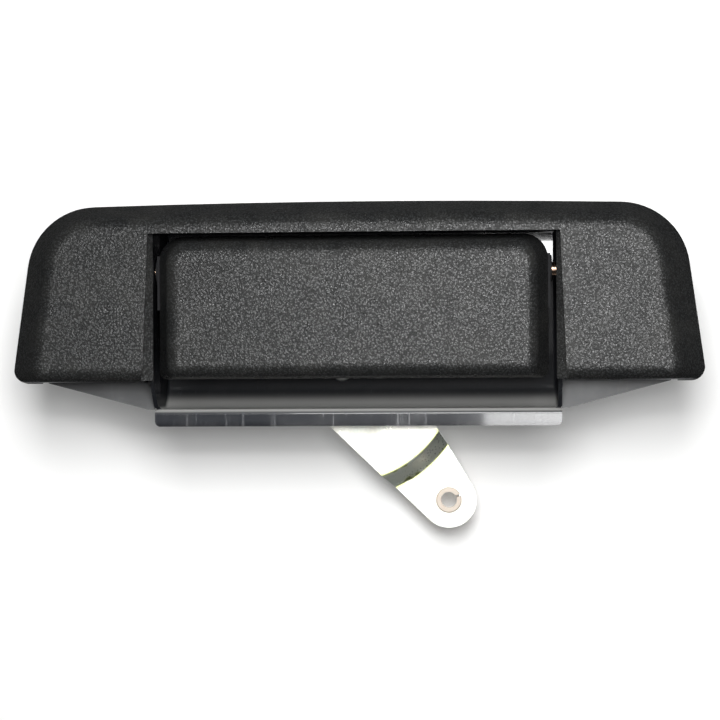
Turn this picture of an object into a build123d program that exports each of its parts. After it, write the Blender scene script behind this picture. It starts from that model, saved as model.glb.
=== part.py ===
from build123d import *
import os
from math import cos, hypot, radians, sin, tan

# A lift-up tailgate handle. Millimetres. +X is right and +Z is up as seen by someone standing
# behind the tailgate; -Y points out of the tailgate towards that person. The plane y = 0 is the
# tailgate's outer skin, and the origin is the centre of the four mounting studs on that plane.

# ---- Driving dimensions ---------------------------------------------------------------------
BEZEL_WIDTH = 251.0          # across the feet of the trim at the skin, before they are rounded
BEZEL_HEIGHT = 64.8          # foot to crown
BEZEL_DEPTH = 20.0           # how far the trim stands out of the skin
BEZEL_BOTTOM = -28.0         # the trim's foot, below the stud centre
BEZEL_WALL = 2.5
BEZEL_FLANK_ANGLE = 8.0      # lean of the outer flanks in the front view, degrees
BEZEL_CROWN = 1.7            # rise of the top edge at the middle
BEZEL_CORNER = 25.0          # upper corner radius at the skin
BEZEL_FOOT = 4.5             # lower corner radius at the skin
BEZEL_BAND = 5.0             # straight wall next to the skin, before the flanks lean in
BEZEL_SIDE_DRAFT = 10.0      # how far the flanks lean in over the rest of the depth
BEZEL_TOP_DRAFT = 5.8
BEZEL_BOTTOM_DRAFT = 0.3
FRONT_EDGE_RADIUS = 5.0      # rounding of the front edges of trim and paddle
FRONT_FOOT_RADIUS = 5.6      # lower corner radius of both front faces
GASKET_THICKNESS = 1.0
GASKET_WIDTH = 3.4
GASKET_PROUD = 0.4           # how far the gasket shows outside the trim

SHEET = 1.4                  # pan sheet
PAN_WIDTH = 148.0            # outside the side walls
PAN_DEPTH = 20.0             # skin to the inside of the back wall
PAN_TOP = 27.8               # underside of the top wall
PAN_FLOOR = -38.0            # top of the floor
PAN_FRONT = -16.0            # front edge of the side walls
PAN_TOP_FRONT = -9.4         # front edge of the top wall
PAN_FLOOR_RADIUS = 8.0       # back to floor, inside
PAN_CORNER_RADIUS = 1.4      # back to side walls and top, inside
LIP_HEIGHT = 6.3             # lip below the floor's top
LIP_BEND = 1.8

OPENING_TOP = 25.2           # upper edge of the trim's opening
OPENING_COVER = 0.6          # how far the trim laps the pan's side walls at the top
OPENING_FLARE = 2.2          # extra half width at the foot of the opening
RETURN_STEP = 2.2            # set-back of the return behind the opening's edge
RETURN_WALL = 2.0
REVEAL_COVER = 0.6            # how far the sloped reveals reach inside the pan's side walls
REVEAL_GAP = 0.4             # reveals to the front edge of the pan's side walls
RETURN_DEPTH = 9.0           # front face to the rear edge of the return

WING_SHEET = 1.5
WING_REACH = 41.0            # how far a wing plate reaches out from the pan
WING_TAIL = 39.0             # how far out its sloping lower edge starts
WING_TOP = 28.0
WELD_LEG = 12.0
CUP_STEP = 2.7               # forward step of the cups the trim's screws sit in
CUP_RADIUS = 6.0
BEZEL_SCREW_RADIUS = 1.7
BEZEL_SCREW_HEAD_RADIUS = 3.5
BEZEL_SCREW_HEAD = 2.1
BEZEL_SCREW_LENGTH = 11.0
BOSS_RADIUS = 4.2

STUD_FROM_PAN = 22.0         # stud axis out from the pan's side wall
STUD_SPACING_Z = 40.0
STUD_RADIUS = 3.0
STUD_LENGTH = 14.0
STUD_COLLAR_RADIUS = 3.5

PIN_RADIUS = 2.5
PIN_Y = -4.0
PIN_Z = 12.0
PIN_HEAD_RADIUS = 4.2
PIN_HEAD = 2.2
CLIP_THICKNESS = 0.8
CLIP_RADIUS = 5.0
PIN_GROOVE_DEPTH = 0.5
RUNNING_CLEARANCE = 0.05
FIT_CLEARANCE = 0.02
END_FLOAT = 0.3

RIGHT_GAP = 2.6              # paddle ear to the pan's right wall
LEFT_GAP = 0.9               # paddle ear to the pan's left wall
SPRING_WIRE = 1.1
SPRING_TURNS = 3             # whole turns; the coil runs on a quarter turn to the upper leg
SPRING_MEAN_RADIUS = 3.8
SPRING_FROM_EAR = 3.5        # coil to the inside of the right ear
SPRING_LEG_DROP = 17.0       # lower end of the spring below the pin

PADDLE_TOP = 24.5
PADDLE_BOTTOM = -27.0
PADDLE_PIN_GAP = 0.5         # carrier plate clear of the hinge pin
PADDLE_WALL = 2.4
PADDLE_CORNER = 9.0
PADDLE_FOOT = 2.5
PADDLE_SIDE_DRAFT = 4.8
PADDLE_TOP_DRAFT = 3.0
PADDLE_BOTTOM_DRAFT = 1.0
PADDLE_TRAVEL = 30.0         # degrees
CARRIER_SHEET = 1.5
EAR_ABOVE_PIN = 5.5
EAR_BELOW_PIN = 14.0
EAR_BEHIND_PIN = 5.5
EAR_PROUD = 0.8              # ears outside the cover's flanks
PADDLE_SCREW_RADIUS = 1.4
PADDLE_SCREW_HEAD_RADIUS = 2.9
PADDLE_SCREW_HEAD = 1.8
PADDLE_SCREW_LENGTH = 8.0
BUSH_WALL = 1.0
BUSH_FLANGE = 0.5

TONGUE_SHEET = 2.2
TONGUE_WIDTH = 15.0
TONGUE_BELOW_PIN = 5.0       # strap's mid plane below the pin
TONGUE_REACH = 43.0          # pin to the rounded tip
TONGUE_TIP_RADIUS = 2.5
TONGUE_TIP_DROP = 6.8        # tip centre below the pin
TONGUE_FOOT = -12.0          # lower edge of the tongue's riveted foot
TONGUE_RIVET_RADIUS = 2.0
TONGUE_RIVET_Z = -5.0

CRANK_X = -7.0
CRANK_Z = -24.0
CRANK_SHEET = 2.5
CRANK_HUB_RADIUS = 18.7
CRANK_END_RADIUS = 10.4
ROD_OFFSET_X = 39.0          # rod hole from the pivot, along X
ROD_OFFSET_Z = 49.0          # rod hole from the pivot, along Z
JOGGLE_START = 42.7          # radius where the arms step back
JOGGLE_RUN = 4.8
JOGGLE_STEP = 6.0
INPUT_OFFSET_X = 35.2        # drive pin from the pivot
INPUT_OFFSET_Z = 21.3
INPUT_ROOT_RADIUS = 13.0
INPUT_END_RADIUS = 5.5
PIVOT_RADIUS = 4.0
PIVOT_NECK_RADIUS = 3.0
PIVOT_HEAD_RADIUS = 8.0
PIVOT_HEAD = 2.0
PIVOT_TAIL_RADIUS = 4.2
PIVOT_TAIL = 1.6
WASHER_THICKNESS = 2.1
AXIAL_PLAY = 0.1
DRIVE_PIN_RADIUS = 2.5
DRIVE_PIN_HEAD_RADIUS = 4.0
DRIVE_PIN_HEAD = 1.4
DRIVE_SLEEVE_RADIUS = 4.0
DRIVE_SLEEVE_LENGTH = 15.0

ROD_BORE_RADIUS = 3.0
ROD_BUSH_BODY_RADIUS = 4.25
ROD_BUSH_FRONT_RADIUS = 4.8
ROD_BUSH_REAR_RADIUS = 6.4
ROD_BUSH_FRONT = 1.0
ROD_BUSH_REAR = 1.5
ROD_BUSH_SLIT = 0.8

BUMPER_CLEARANCE = 0.2
BUMPER_WALL = 1.5
BUMPER_LENGTH = 11.0

# ---- Values worked out from them --------------------------------------------------------------
TOP = BEZEL_BOTTOM + BEZEL_HEIGHT
FRONT = -BEZEL_DEPTH
RIM = -GASKET_THICKNESS
SKIN_INSIDE = FRONT + BEZEL_WALL
PAN_HALF = PAN_WIDTH / 2
PAN_INNER = PAN_HALF - SHEET
PAN_BACK = PAN_DEPTH + SHEET
OPENING_HALF = PAN_HALF - OPENING_COVER
STUD_SPACING_X = 2 * (PAN_HALF + STUD_FROM_PAN)
PADDLE_LEFT = -PAN_INNER + LEFT_GAP
PADDLE_RIGHT = PAN_INNER - RIGHT_GAP
PADDLE_MID = (PADDLE_LEFT + PADDLE_RIGHT) / 2
COVER_LEFT = PADDLE_LEFT + EAR_PROUD
COVER_RIGHT = PADDLE_RIGHT - EAR_PROUD
SPRING_OUTER_X = PADDLE_RIGHT - CARRIER_SHEET - SPRING_FROM_EAR
SPRING_PITCH = SPRING_WIRE + 0.08
SPRING_INNER_X = SPRING_OUTER_X - (SPRING_TURNS + 0.25) * SPRING_PITCH
CARRIER_BACK = PIN_Y - PIN_RADIUS - PADDLE_PIN_GAP
PADDLE_REAR = CARRIER_BACK - CARRIER_SHEET
PADDLE_SCREW_SPREAD = 0.41 * (COVER_RIGHT - COVER_LEFT)
SWING = radians(PADDLE_TRAVEL)
CRANK_FRONT = PAN_BACK + WASHER_THICKNESS + AXIAL_PLAY
CRANK_BACK = CRANK_FRONT + CRANK_SHEET
INPUT_X = CRANK_X + INPUT_OFFSET_X
INPUT_Z = CRANK_Z + INPUT_OFFSET_Z
INPUT_END_X = CRANK_X + INPUT_OFFSET_X * cos(SWING) + INPUT_OFFSET_Z * sin(SWING)
TONGUE_X = (INPUT_X + INPUT_END_X) / 2
STRAP_TOP = PIN_Z - TONGUE_BELOW_PIN + TONGUE_SHEET / 2
STRAP_BOTTOM = STRAP_TOP - TONGUE_SHEET
TONGUE_RIVETS = [(TONGUE_X - 4.0, TONGUE_RIVET_Z), (TONGUE_X + 4.0, TONGUE_RIVET_Z)]
WINDOW_TOP = STRAP_TOP + BUMPER_CLEARANCE + BUMPER_WALL
WINDOW_BOTTOM = (PIN_Z - (PAN_BACK - PIN_Y) * tan(SWING)
                 - (PIN_Z - STRAP_BOTTOM) / cos(SWING) - 1.5)
BOSS_END = -CUP_STEP - WING_SHEET
WING_SCREWS = [(PAN_HALF + 12.0, 0.0), (PAN_HALF + 33.0, 0.0)]
PADDLE_SCREWS = [(PADDLE_MID + side * PADDLE_SCREW_SPREAD, z)
                 for side in (-1, 1) for z in (-17.0, 1.0)]


# ---- Helpers ----------------------------------------------------------------------------------
def facing(y):
    """A sketch plane seen from the front, at depth y: sketch x is +X and sketch y is +Z."""
    return Plane((0, y, 0), x_dir=(1, 0, 0), z_dir=(0, -1, 0))


def slab(sketch, near, far):
    """The solid of a front-view sketch from the nearer depth to the farther one."""
    return extrude(facing(far) * sketch, far - near)


def disc(x, z, radius, near, far):
    """A cylinder along Y."""
    return slab(Pos(x, z) * Circle(radius), near, far)


def box(x0, x1, y0, y1, z0, z1):
    """A box between two corners."""
    return Pos((x0 + x1) / 2, (y0 + y1) / 2, (z0 + z1) / 2) * Box(x1 - x0, y1 - y0, z1 - z0)


def rod(x0, x1, y, z, radius):
    """A cylinder along X."""
    return extrude(Plane((x0, y, z), x_dir=(0, 1, 0), z_dir=(1, 0, 0)) * Circle(radius), x1 - x0)


def side_slab(sketch, x0, x1):
    """The solid of a side-view sketch (sketch x is +Y, sketch y is +Z) between two x places."""
    return extrude(Plane((x0, 0, 0), x_dir=(0, 1, 0), z_dir=(1, 0, 0)) * sketch, x1 - x0)


def polygon(points):
    return make_face(Polyline(*points, close=True))


def mirrored(shape):
    return mirror(shape, about=Plane.YZ)


def both_sides(shape):
    return [shape, mirrored(shape)]


def cross_recess(x, z, y, size, depth):
    """The cross slot of a screw head whose face is at depth y and looks towards +Y."""
    arm = box(-size, size, -depth, 0.1, -size / 4, size / 4)
    return Pos(x, y, z) * (arm + Rot(0, 90, 0) * arm)


def screw(x, z, seat, head_radius, head, shank_radius, length):
    """A pan-head screw with its head's bearing face at depth seat and its tip towards -Y."""
    body = disc(x, z, head_radius, seat, seat + head)
    body = fillet(body.edges().group_by(Axis.Y)[-1], head * 0.45)
    body += disc(x, z, shank_radius, seat - length, seat)
    body = chamfer(body.edges().group_by(Axis.Y)[0], shank_radius * 0.5)
    return body - cross_recess(x, z, seat + head, head_radius * 0.55, head * 0.6)


def tapered_arm(x0, z0, r0, x1, z1, r1):
    """Front-view outline of an arm: two circles and their common tangents."""
    span = hypot(x1 - x0, z1 - z0)
    along = Vector((x1 - x0) / span, (z1 - z0) / span)
    across = Vector(-along.Y, along.X)
    lean = (r0 - r1) / span
    rise = (1 - lean * lean) ** 0.5
    corners = []
    for cx, cz, r, side in ((x0, z0, r0, 1), (x1, z1, r1, 1), (x1, z1, r1, -1), (x0, z0, r0, -1)):
        touch = along * (lean * r) + across * (side * rise * r)
        corners.append((cx + touch.X, cz + touch.Y))
    return polygon(corners) + Pos(x0, z0) * Circle(r0) + Pos(x1, z1) * Circle(r1)


# ---- Trim -------------------------------------------------------------------------------------
def bezel_outline(side, top, bottom, corner, foot):
    """The trim's front-view outline, moved in by side, top and bottom."""
    z0 = BEZEL_BOTTOM + bottom
    z1 = TOP - top
    shoulder = z1 - BEZEL_CROWN
    half = BEZEL_WIDTH / 2 - side - bottom * tan(radians(BEZEL_FLANK_ANGLE))
    upper = half - (shoulder - z0) * tan(radians(BEZEL_FLANK_ANGLE))
    with BuildSketch() as outline:
        with BuildLine():
            Line((-half, z0), (half, z0))
            Line((half, z0), (upper, shoulder))
            ThreePointArc((upper, shoulder), (0, z1), (-upper, shoulder))
            Line((-upper, shoulder), (-half, z0))
        make_face()
        fillet(outline.vertices().group_by(Axis.Y)[-1], corner)
        fillet(outline.vertices().group_by(Axis.Y)[0], foot)
    return outline.sketch


def opening(grow=0.0):
    """The notch in the trim that the paddle and the pan sit in, open at its foot."""
    top = OPENING_TOP + grow
    foot = PAN_FLOOR - 10.0
    slope = OPENING_FLARE / (OPENING_TOP - BEZEL_BOTTOM)
    high = OPENING_HALF + grow - slope * grow
    low = OPENING_HALF + grow + slope * (OPENING_TOP - foot)
    return polygon([(-low, foot), (low, foot), (high, top), (-high, top)])


def bezel_shell(inset, front):
    """The trim's body: a straight band at the skin, then flanks that lean in."""
    bend = RIM - BEZEL_BAND
    share = (front - bend) / (FRONT - bend)
    corner_front = BEZEL_CORNER - BEZEL_SIDE_DRAFT + 1.0
    rim = bezel_outline(inset, inset, inset, BEZEL_CORNER - inset, max(BEZEL_FOOT - inset, 1.0))
    face = bezel_outline(BEZEL_SIDE_DRAFT * share + inset, BEZEL_TOP_DRAFT * share + inset,
                         BEZEL_BOTTOM_DRAFT * share + inset, corner_front - inset,
                         FRONT_FOOT_RADIUS - inset)
    return slab(rim, bend, RIM) + loft([facing(bend) * rim, facing(front) * face], ruled=True)


def bezel():
    outer = bezel_shell(0.0, FRONT)
    outer = fillet(outer.faces().sort_by(Axis.Y)[0].edges(), FRONT_EDGE_RADIUS)
    hollow = bezel_shell(BEZEL_WALL, SKIN_INSIDE)
    shell = outer - hollow
    band = slab(opening(RETURN_STEP + RETURN_WALL) - opening(RETURN_STEP),
                SKIN_INSIDE - 0.5, FRONT + RETURN_DEPTH)
    shell += band & outer
    rib_foot = OPENING_TOP + RETURN_STEP + RETURN_WALL - 0.5
    for k in range(-3, 4):
        rib = box(k * 22.0 - 0.8, k * 22.0 + 0.8, SKIN_INSIDE - 0.5, FRONT + RETURN_DEPTH, rib_foot, TOP)
        shell += rib & bezel_shell(BEZEL_WALL - 0.6, SKIN_INSIDE - 0.6)
    for x, z in WING_SCREWS:
        boss = disc(x, z, BOSS_RADIUS, SKIN_INSIDE - 0.5, BOSS_END)
        web = box(x - 0.8, x + 0.8, SKIN_INSIDE - 0.5, RIM - 8.0, BEZEL_BOTTOM + 1.0, TOP)
        web = web & bezel_shell(BEZEL_WALL - 0.6, SKIN_INSIDE - 0.6)
        for piece in both_sides(boss) + both_sides(web):
            shell += piece
    for x, z in WING_SCREWS:
        for hole in both_sides(disc(x, z, BEZEL_SCREW_RADIUS, BOSS_END - 10.5, BOSS_END)):
            shell -= hole
    shell -= slab(opening(), FRONT - 1.0, 1.0)
    for relief in both_sides(wing_relief()):
        shell -= relief
    for lip in both_sides(reveal()):
        shell += lip
    return shell


def reveal():
    """Sloped lip down the right-hand edge of the opening, which hides the pan's edge."""
    inner = PAN_INNER - REVEAL_COVER
    rear = PAN_FRONT - REVEAL_GAP
    slope = OPENING_FLARE / (OPENING_TOP - BEZEL_BOTTOM)
    ends = []
    for z in (BEZEL_BOTTOM + 0.6, OPENING_TOP + 0.5):
        edge = OPENING_HALF + slope * (OPENING_TOP - z) + 0.5
        section = polygon([(edge, FRONT + 0.7), (inner, rear - 0.7), (inner, rear),
                           (edge, FRONT + BEZEL_WALL - 0.1)])
        ends.append(Plane.XY.offset(z) * section)
    return loft(ends, ruled=True)


def wing_relief():
    """Room for a wing plate where it passes under the trim's foot."""
    x0, x1 = PAN_HALF - 2.0, PAN_HALF + WING_REACH + 0.4
    return box(x0, x1, -WING_SHEET - END_FLOAT, 0.5, BEZEL_BOTTOM - 1.0, BEZEL_BOTTOM + 4.5)


def gasket():
    out, within = -GASKET_PROUD, GASKET_WIDTH - GASKET_PROUD
    ring = (bezel_outline(out, out, out, BEZEL_CORNER - out, BEZEL_FOOT - out)
            - bezel_outline(within, within, within, BEZEL_CORNER - within, 1.0))
    seal = slab(ring, RIM, 0.0)
    reach = PAN_HALF + WING_REACH + 0.4
    return seal - box(-reach, reach, RIM - 1.0, 1.0, BEZEL_BOTTOM - 1.0, BEZEL_BOTTOM + 6.0)


# ---- Pan and wings ----------------------------------------------------------------------------
def pan_body(inset):
    """The pan's closed block: outside with inset 0, and its hollow with inset SHEET."""
    back = PAN_BACK - inset
    top = PAN_TOP + SHEET - inset
    floor = PAN_FLOOR - SHEET + inset
    half = PAN_HALF - inset
    ahead = 5.0 if inset else 0.0
    outline = polygon([
        (PAN_FRONT - ahead, PAN_TOP - 7.5 + ahead),
        (PAN_TOP_FRONT - ahead, top),
        (back, top),
        (back, floor),
        (-SHEET - ahead, floor),
        (-SHEET - ahead, floor + 1.0),
        (PAN_FRONT - ahead, -25.0 - ahead),
    ])
    block = side_slab(outline, -half, half)
    rear = block.faces().sort_by(Axis.Y)[-1]
    low = rear.edges().sort_by(Axis.Z)[0]
    block = fillet(low, PAN_FLOOR_RADIUS + SHEET - inset)
    rear = block.faces().sort_by(Axis.Y)[-1]
    others = rear.edges().sort_by(Axis.Z)[1:]
    return fillet(others, PAN_CORNER_RADIUS + SHEET - inset)


def pan():
    body = pan_body(0.0) - pan_body(SHEET)
    lip = box(-PAN_HALF, PAN_HALF, -SHEET, 0.0, PAN_FLOOR - LIP_HEIGHT, PAN_FLOOR)
    lip = fillet(lip.edges().filter_by(Axis.Y).group_by(Axis.Z)[0], 2.0)
    body += lip
    body -= bend_relief()
    body -= rod(-PAN_HALF - 1, PAN_HALF + 1, PIN_Y, PIN_Z, PIN_RADIUS + FIT_CLEARANCE)
    body -= disc(CRANK_X, CRANK_Z, PIVOT_NECK_RADIUS + FIT_CLEARANCE, PAN_DEPTH - 1, PAN_BACK + 1)
    half = TONGUE_WIDTH / 2 + 1.5
    window = box(TONGUE_X - half, TONGUE_X + half, PAN_DEPTH - 1, PAN_BACK + 1,
                 WINDOW_BOTTOM, WINDOW_TOP)
    body -= fillet(window.edges().filter_by(Axis.Y), 2.0)
    body -= disc(SPRING_OUTER_X, PIN_Z + SPRING_MEAN_RADIUS, SPRING_WIRE / 2 + 0.35,
                 PAN_DEPTH - 1, PAN_BACK + 1)
    return body


def bend_relief():
    """Rounds the outside of the bend between the floor and the lip."""
    block = box(-PAN_HALF - 1, PAN_HALF + 1, -SHEET - 1, -SHEET + LIP_BEND, PAN_FLOOR - LIP_BEND,
                PAN_FLOOR + 1)
    return block - rod(-PAN_HALF - 1, PAN_HALF + 1, -SHEET + LIP_BEND, PAN_FLOOR - LIP_BEND,
                       LIP_BEND)


def wing():
    """The right-hand wing plate, with its weld leg along the pan's side wall."""
    low = PAN_FLOOR
    outer = PAN_HALF + WING_REACH
    tail = PAN_HALF + WING_TAIL
    plate = slab(polygon([
        (PAN_HALF, low), (PAN_HALF + 2.5, low), (tail, BEZEL_BOTTOM - 0.3), (outer, BEZEL_BOTTOM + 5),
        (outer, 6.0), (outer - 11, WING_TOP - 4), (outer - 17, WING_TOP), (PAN_HALF, WING_TOP),
    ]), -WING_SHEET, 0.0)
    leg = box(PAN_HALF, PAN_HALF + WING_SHEET, -WING_SHEET, WELD_LEG, low + 8, WING_TOP - 4)
    leg = fillet(leg.edges().filter_by(Axis.X).group_by(Axis.Y)[-1], 4.0)
    body = plate + leg
    for x, z in WING_SCREWS:
        body += disc(x, z, CUP_RADIUS, -CUP_STEP - WING_SHEET, 0.0)
        body -= disc(x, z, CUP_RADIUS - WING_SHEET, -CUP_STEP, 0.5)
        body -= disc(x, z, BEZEL_SCREW_RADIUS + 0.5, -CUP_STEP - WING_SHEET - 1, 0)
    for z in (-STUD_SPACING_Z / 2, STUD_SPACING_Z / 2):
        body -= disc(STUD_SPACING_X / 2, z, STUD_COLLAR_RADIUS, -WING_SHEET - 1, 1)
    return body - rod(PAN_HALF - 1, PAN_HALF + 6, PIN_Y, PIN_Z, CLIP_RADIUS + 1.2)


def mounting_studs():
    studs = []
    for x in (-STUD_SPACING_X / 2, STUD_SPACING_X / 2):
        for z in (-STUD_SPACING_Z / 2, STUD_SPACING_Z / 2):
            stud = disc(x, z, STUD_COLLAR_RADIUS + 1.0, -WING_SHEET - 1.2, -WING_SHEET)
            stud += disc(x, z, STUD_COLLAR_RADIUS, -WING_SHEET, 0.0)
            stud += disc(x, z, STUD_RADIUS, 0.0, STUD_LENGTH)
            studs.append(chamfer(stud.edges().sort_by(Axis.Y)[-1], 0.7))
    return Compound(studs)


def bezel_screws():
    screws = [screw(side * x, z, -CUP_STEP, BEZEL_SCREW_HEAD_RADIUS, BEZEL_SCREW_HEAD,
                    BEZEL_SCREW_RADIUS, BEZEL_SCREW_LENGTH)
              for side in (-1, 1) for x, z in WING_SCREWS]
    return Compound(screws)


# ---- Hinge ------------------------------------------------------------------------------------
def hinge_pin():
    head = rod(-PAN_HALF - PIN_HEAD, -PAN_HALF, PIN_Y, PIN_Z, PIN_HEAD_RADIUS)
    head = fillet(head.edges().sort_by(Axis.X)[0], 1.0)
    end = PAN_HALF + END_FLOAT + CLIP_THICKNESS + 1.6
    pin = head + rod(-PAN_HALF, end, PIN_Y, PIN_Z, PIN_RADIUS)
    pin = chamfer(pin.edges().sort_by(Axis.X)[-1], 0.5)
    start = PAN_HALF + END_FLOAT
    groove = (rod(start, start + CLIP_THICKNESS, PIN_Y, PIN_Z, PIN_RADIUS + 1)
              - rod(start, start + CLIP_THICKNESS, PIN_Y, PIN_Z, PIN_RADIUS - PIN_GROOVE_DEPTH))
    return pin - groove


def pin_clip():
    start = PAN_HALF + END_FLOAT
    inner = PIN_RADIUS - PIN_GROOVE_DEPTH
    clip = (rod(start, start + CLIP_THICKNESS, PIN_Y, PIN_Z, CLIP_RADIUS)
            - rod(start - 1, start + 2, PIN_Y, PIN_Z, inner))
    mouth = box(start - 1, start + 2, PIN_Y - inner, PIN_Y + inner, PIN_Z - 2 * CLIP_RADIUS, PIN_Z)
    relief = (rod(start - 1, start + 2, PIN_Y, PIN_Z, CLIP_RADIUS - 1.3)
              - rod(start - 2, start + 3, PIN_Y, PIN_Z, inner - 0.1))
    pads = box(start - 2, start + 3, PIN_Y - 1.2, PIN_Y + 1.2, PIN_Z, PIN_Z + CLIP_RADIUS)
    pads += box(start - 2, start + 3, PIN_Y - CLIP_RADIUS, PIN_Y + CLIP_RADIUS, PIN_Z - 1.2, PIN_Z)
    return clip - mouth - (relief - pads)


def ear_bush(x0, x1, flange_side):
    """A nylon bush in a paddle ear, from x0 to x1, with its flange on the pan's side."""
    bush = rod(x0, x1, PIN_Y, PIN_Z, PIN_RADIUS + BUSH_WALL)
    if flange_side < 0:
        bush += rod(x0 - BUSH_FLANGE, x0, PIN_Y, PIN_Z, PIN_RADIUS + BUSH_WALL + 1.4)
    else:
        bush += rod(x1, x1 + BUSH_FLANGE, PIN_Y, PIN_Z, PIN_RADIUS + BUSH_WALL + 1.4)
    return bush - rod(x0 - 2, x1 + 2, PIN_Y, PIN_Z, PIN_RADIUS + RUNNING_CLEARANCE)


def return_spring():
    """Torsion spring on the pin: its lower leg pulls the carrier back, its upper leg is held by
    a hole in the pan's back wall."""
    front = PIN_Y - SPRING_MEAN_RADIUS
    rest = PADDLE_REAR - SPRING_WIRE / 2 - 0.02
    turns = SPRING_TURNS + 0.25
    place = Plane((SPRING_INNER_X, PIN_Y, PIN_Z), x_dir=(0, -1, 0), z_dir=(1, 0, 0))
    coil_path = place * Helix(SPRING_PITCH, turns * SPRING_PITCH, SPRING_MEAN_RADIUS, lefthand=True)
    lower = FilletPolyline((SPRING_INNER_X, front, PIN_Z + 0.2),
                           (SPRING_INNER_X, front, PIN_Z - 4.0),
                           (SPRING_INNER_X, rest, PIN_Z - 10.0),
                           (SPRING_INNER_X, rest, PIN_Z - SPRING_LEG_DROP), radius=2.0)
    top = PIN_Z + SPRING_MEAN_RADIUS
    upper = Line((SPRING_OUTER_X, PIN_Y - 0.2, top), (SPRING_OUTER_X, PAN_BACK + 2.0, top))
    spring = sweep(Plane(coil_path @ 0, z_dir=coil_path % 0) * Circle(SPRING_WIRE / 2),
                   path=coil_path, is_frenet=True)
    for path in (lower, upper):
        spring += sweep(Plane(path @ 0, z_dir=path % 0) * Circle(SPRING_WIRE / 2 - 0.03), path=path)
    return spring


# ---- Paddle -----------------------------------------------------------------------------------
def paddle_outline(side, top, bottom, corner, foot):
    x0, x1 = COVER_LEFT + side, COVER_RIGHT - side
    z0, z1 = PADDLE_BOTTOM + bottom, PADDLE_TOP - top
    outline = polygon([(x0, z0), (x1, z0), (x1, z1), (x0, z1)])
    outline = fillet(outline.vertices().group_by(Axis.Y)[-1], corner)
    return fillet(outline.vertices().group_by(Axis.Y)[0], foot)


def paddle_shell(inset, front):
    depth = PADDLE_REAR - FRONT
    share = (PADDLE_REAR - front) / depth
    back = paddle_outline(inset, inset, inset, PADDLE_CORNER - inset, max(PADDLE_FOOT - inset, 0.8))
    face = paddle_outline(PADDLE_SIDE_DRAFT * share + inset, PADDLE_TOP_DRAFT * share + inset,
                          PADDLE_BOTTOM_DRAFT * share + inset, PADDLE_CORNER - 1.5 - inset,
                          FRONT_FOOT_RADIUS - inset)
    return loft([facing(PADDLE_REAR) * back, facing(front) * face], ruled=True)


def paddle_cover():
    outer = paddle_shell(0.0, FRONT)
    outer = fillet(outer.faces().sort_by(Axis.Y)[0].edges(), FRONT_EDGE_RADIUS)
    shell = outer - paddle_shell(PADDLE_WALL, FRONT + PADDLE_WALL)
    for x, z in PADDLE_SCREWS:
        shell += disc(x, z, PADDLE_SCREW_RADIUS + 1.9, FRONT + PADDLE_WALL - 0.5, PADDLE_REAR)
    for x, z in PADDLE_SCREWS:
        shell -= disc(x, z, PADDLE_SCREW_RADIUS, PADDLE_REAR - 7.5, PADDLE_REAR)
    return shell


def ear_outline():
    """Side view of a paddle ear, rounded above and behind the pin."""
    y0, y1 = PADDLE_REAR, PIN_Y + EAR_BEHIND_PIN
    z0, z1 = PIN_Z - EAR_BELOW_PIN, PIN_Z + EAR_ABOVE_PIN
    outline = polygon([(y0, z0), (CARRIER_BACK + 1.0, z0), (y1, PIN_Z - 4.0), (y1, z1), (y0, z1)])
    return fillet(outline.vertices().group_by(Axis.Y)[-1], 4.5)


def paddle_carrier():
    inner = paddle_outline(0.4, 1.0, 0.8, PADDLE_CORNER - 1, PADDLE_FOOT)
    plate = slab(inner, PADDLE_REAR, CARRIER_BACK)
    plate += box(PADDLE_LEFT, PADDLE_RIGHT, PADDLE_REAR, CARRIER_BACK,
                 PIN_Z - EAR_BELOW_PIN, PIN_Z + EAR_ABOVE_PIN)
    for x0, x1 in ((PADDLE_LEFT, PADDLE_LEFT + CARRIER_SHEET),
                   (PADDLE_RIGHT - CARRIER_SHEET, PADDLE_RIGHT)):
        plate += side_slab(ear_outline(), x0, x1)
        plate -= rod(x0 - 1, x1 + 1, PIN_Y, PIN_Z, PIN_RADIUS + BUSH_WALL)
    window = box(SPRING_INNER_X - 1.3, SPRING_OUTER_X + 1.3, PADDLE_REAR - 1, CARRIER_BACK + 1,
                 PIN_Z - 11.0, PIN_Z + SPRING_MEAN_RADIUS + 2.0)
    plate -= fillet(window.edges().filter_by(Axis.Y), 1.2)
    for x, z in PADDLE_SCREWS:
        plate -= disc(x, z, PADDLE_SCREW_RADIUS + 0.3, PADDLE_REAR - 1, CARRIER_BACK + 1)
    for x, z in TONGUE_RIVETS:
        plate -= disc(x, z, TONGUE_RIVET_RADIUS, PADDLE_REAR - 1, CARRIER_BACK + 1)
    return plate


def paddle_screws():
    return Compound([screw(x, z, CARRIER_BACK, PADDLE_SCREW_HEAD_RADIUS, PADDLE_SCREW_HEAD,
                           PADDLE_SCREW_RADIUS, PADDLE_SCREW_LENGTH) for x, z in PADDLE_SCREWS])


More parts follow.
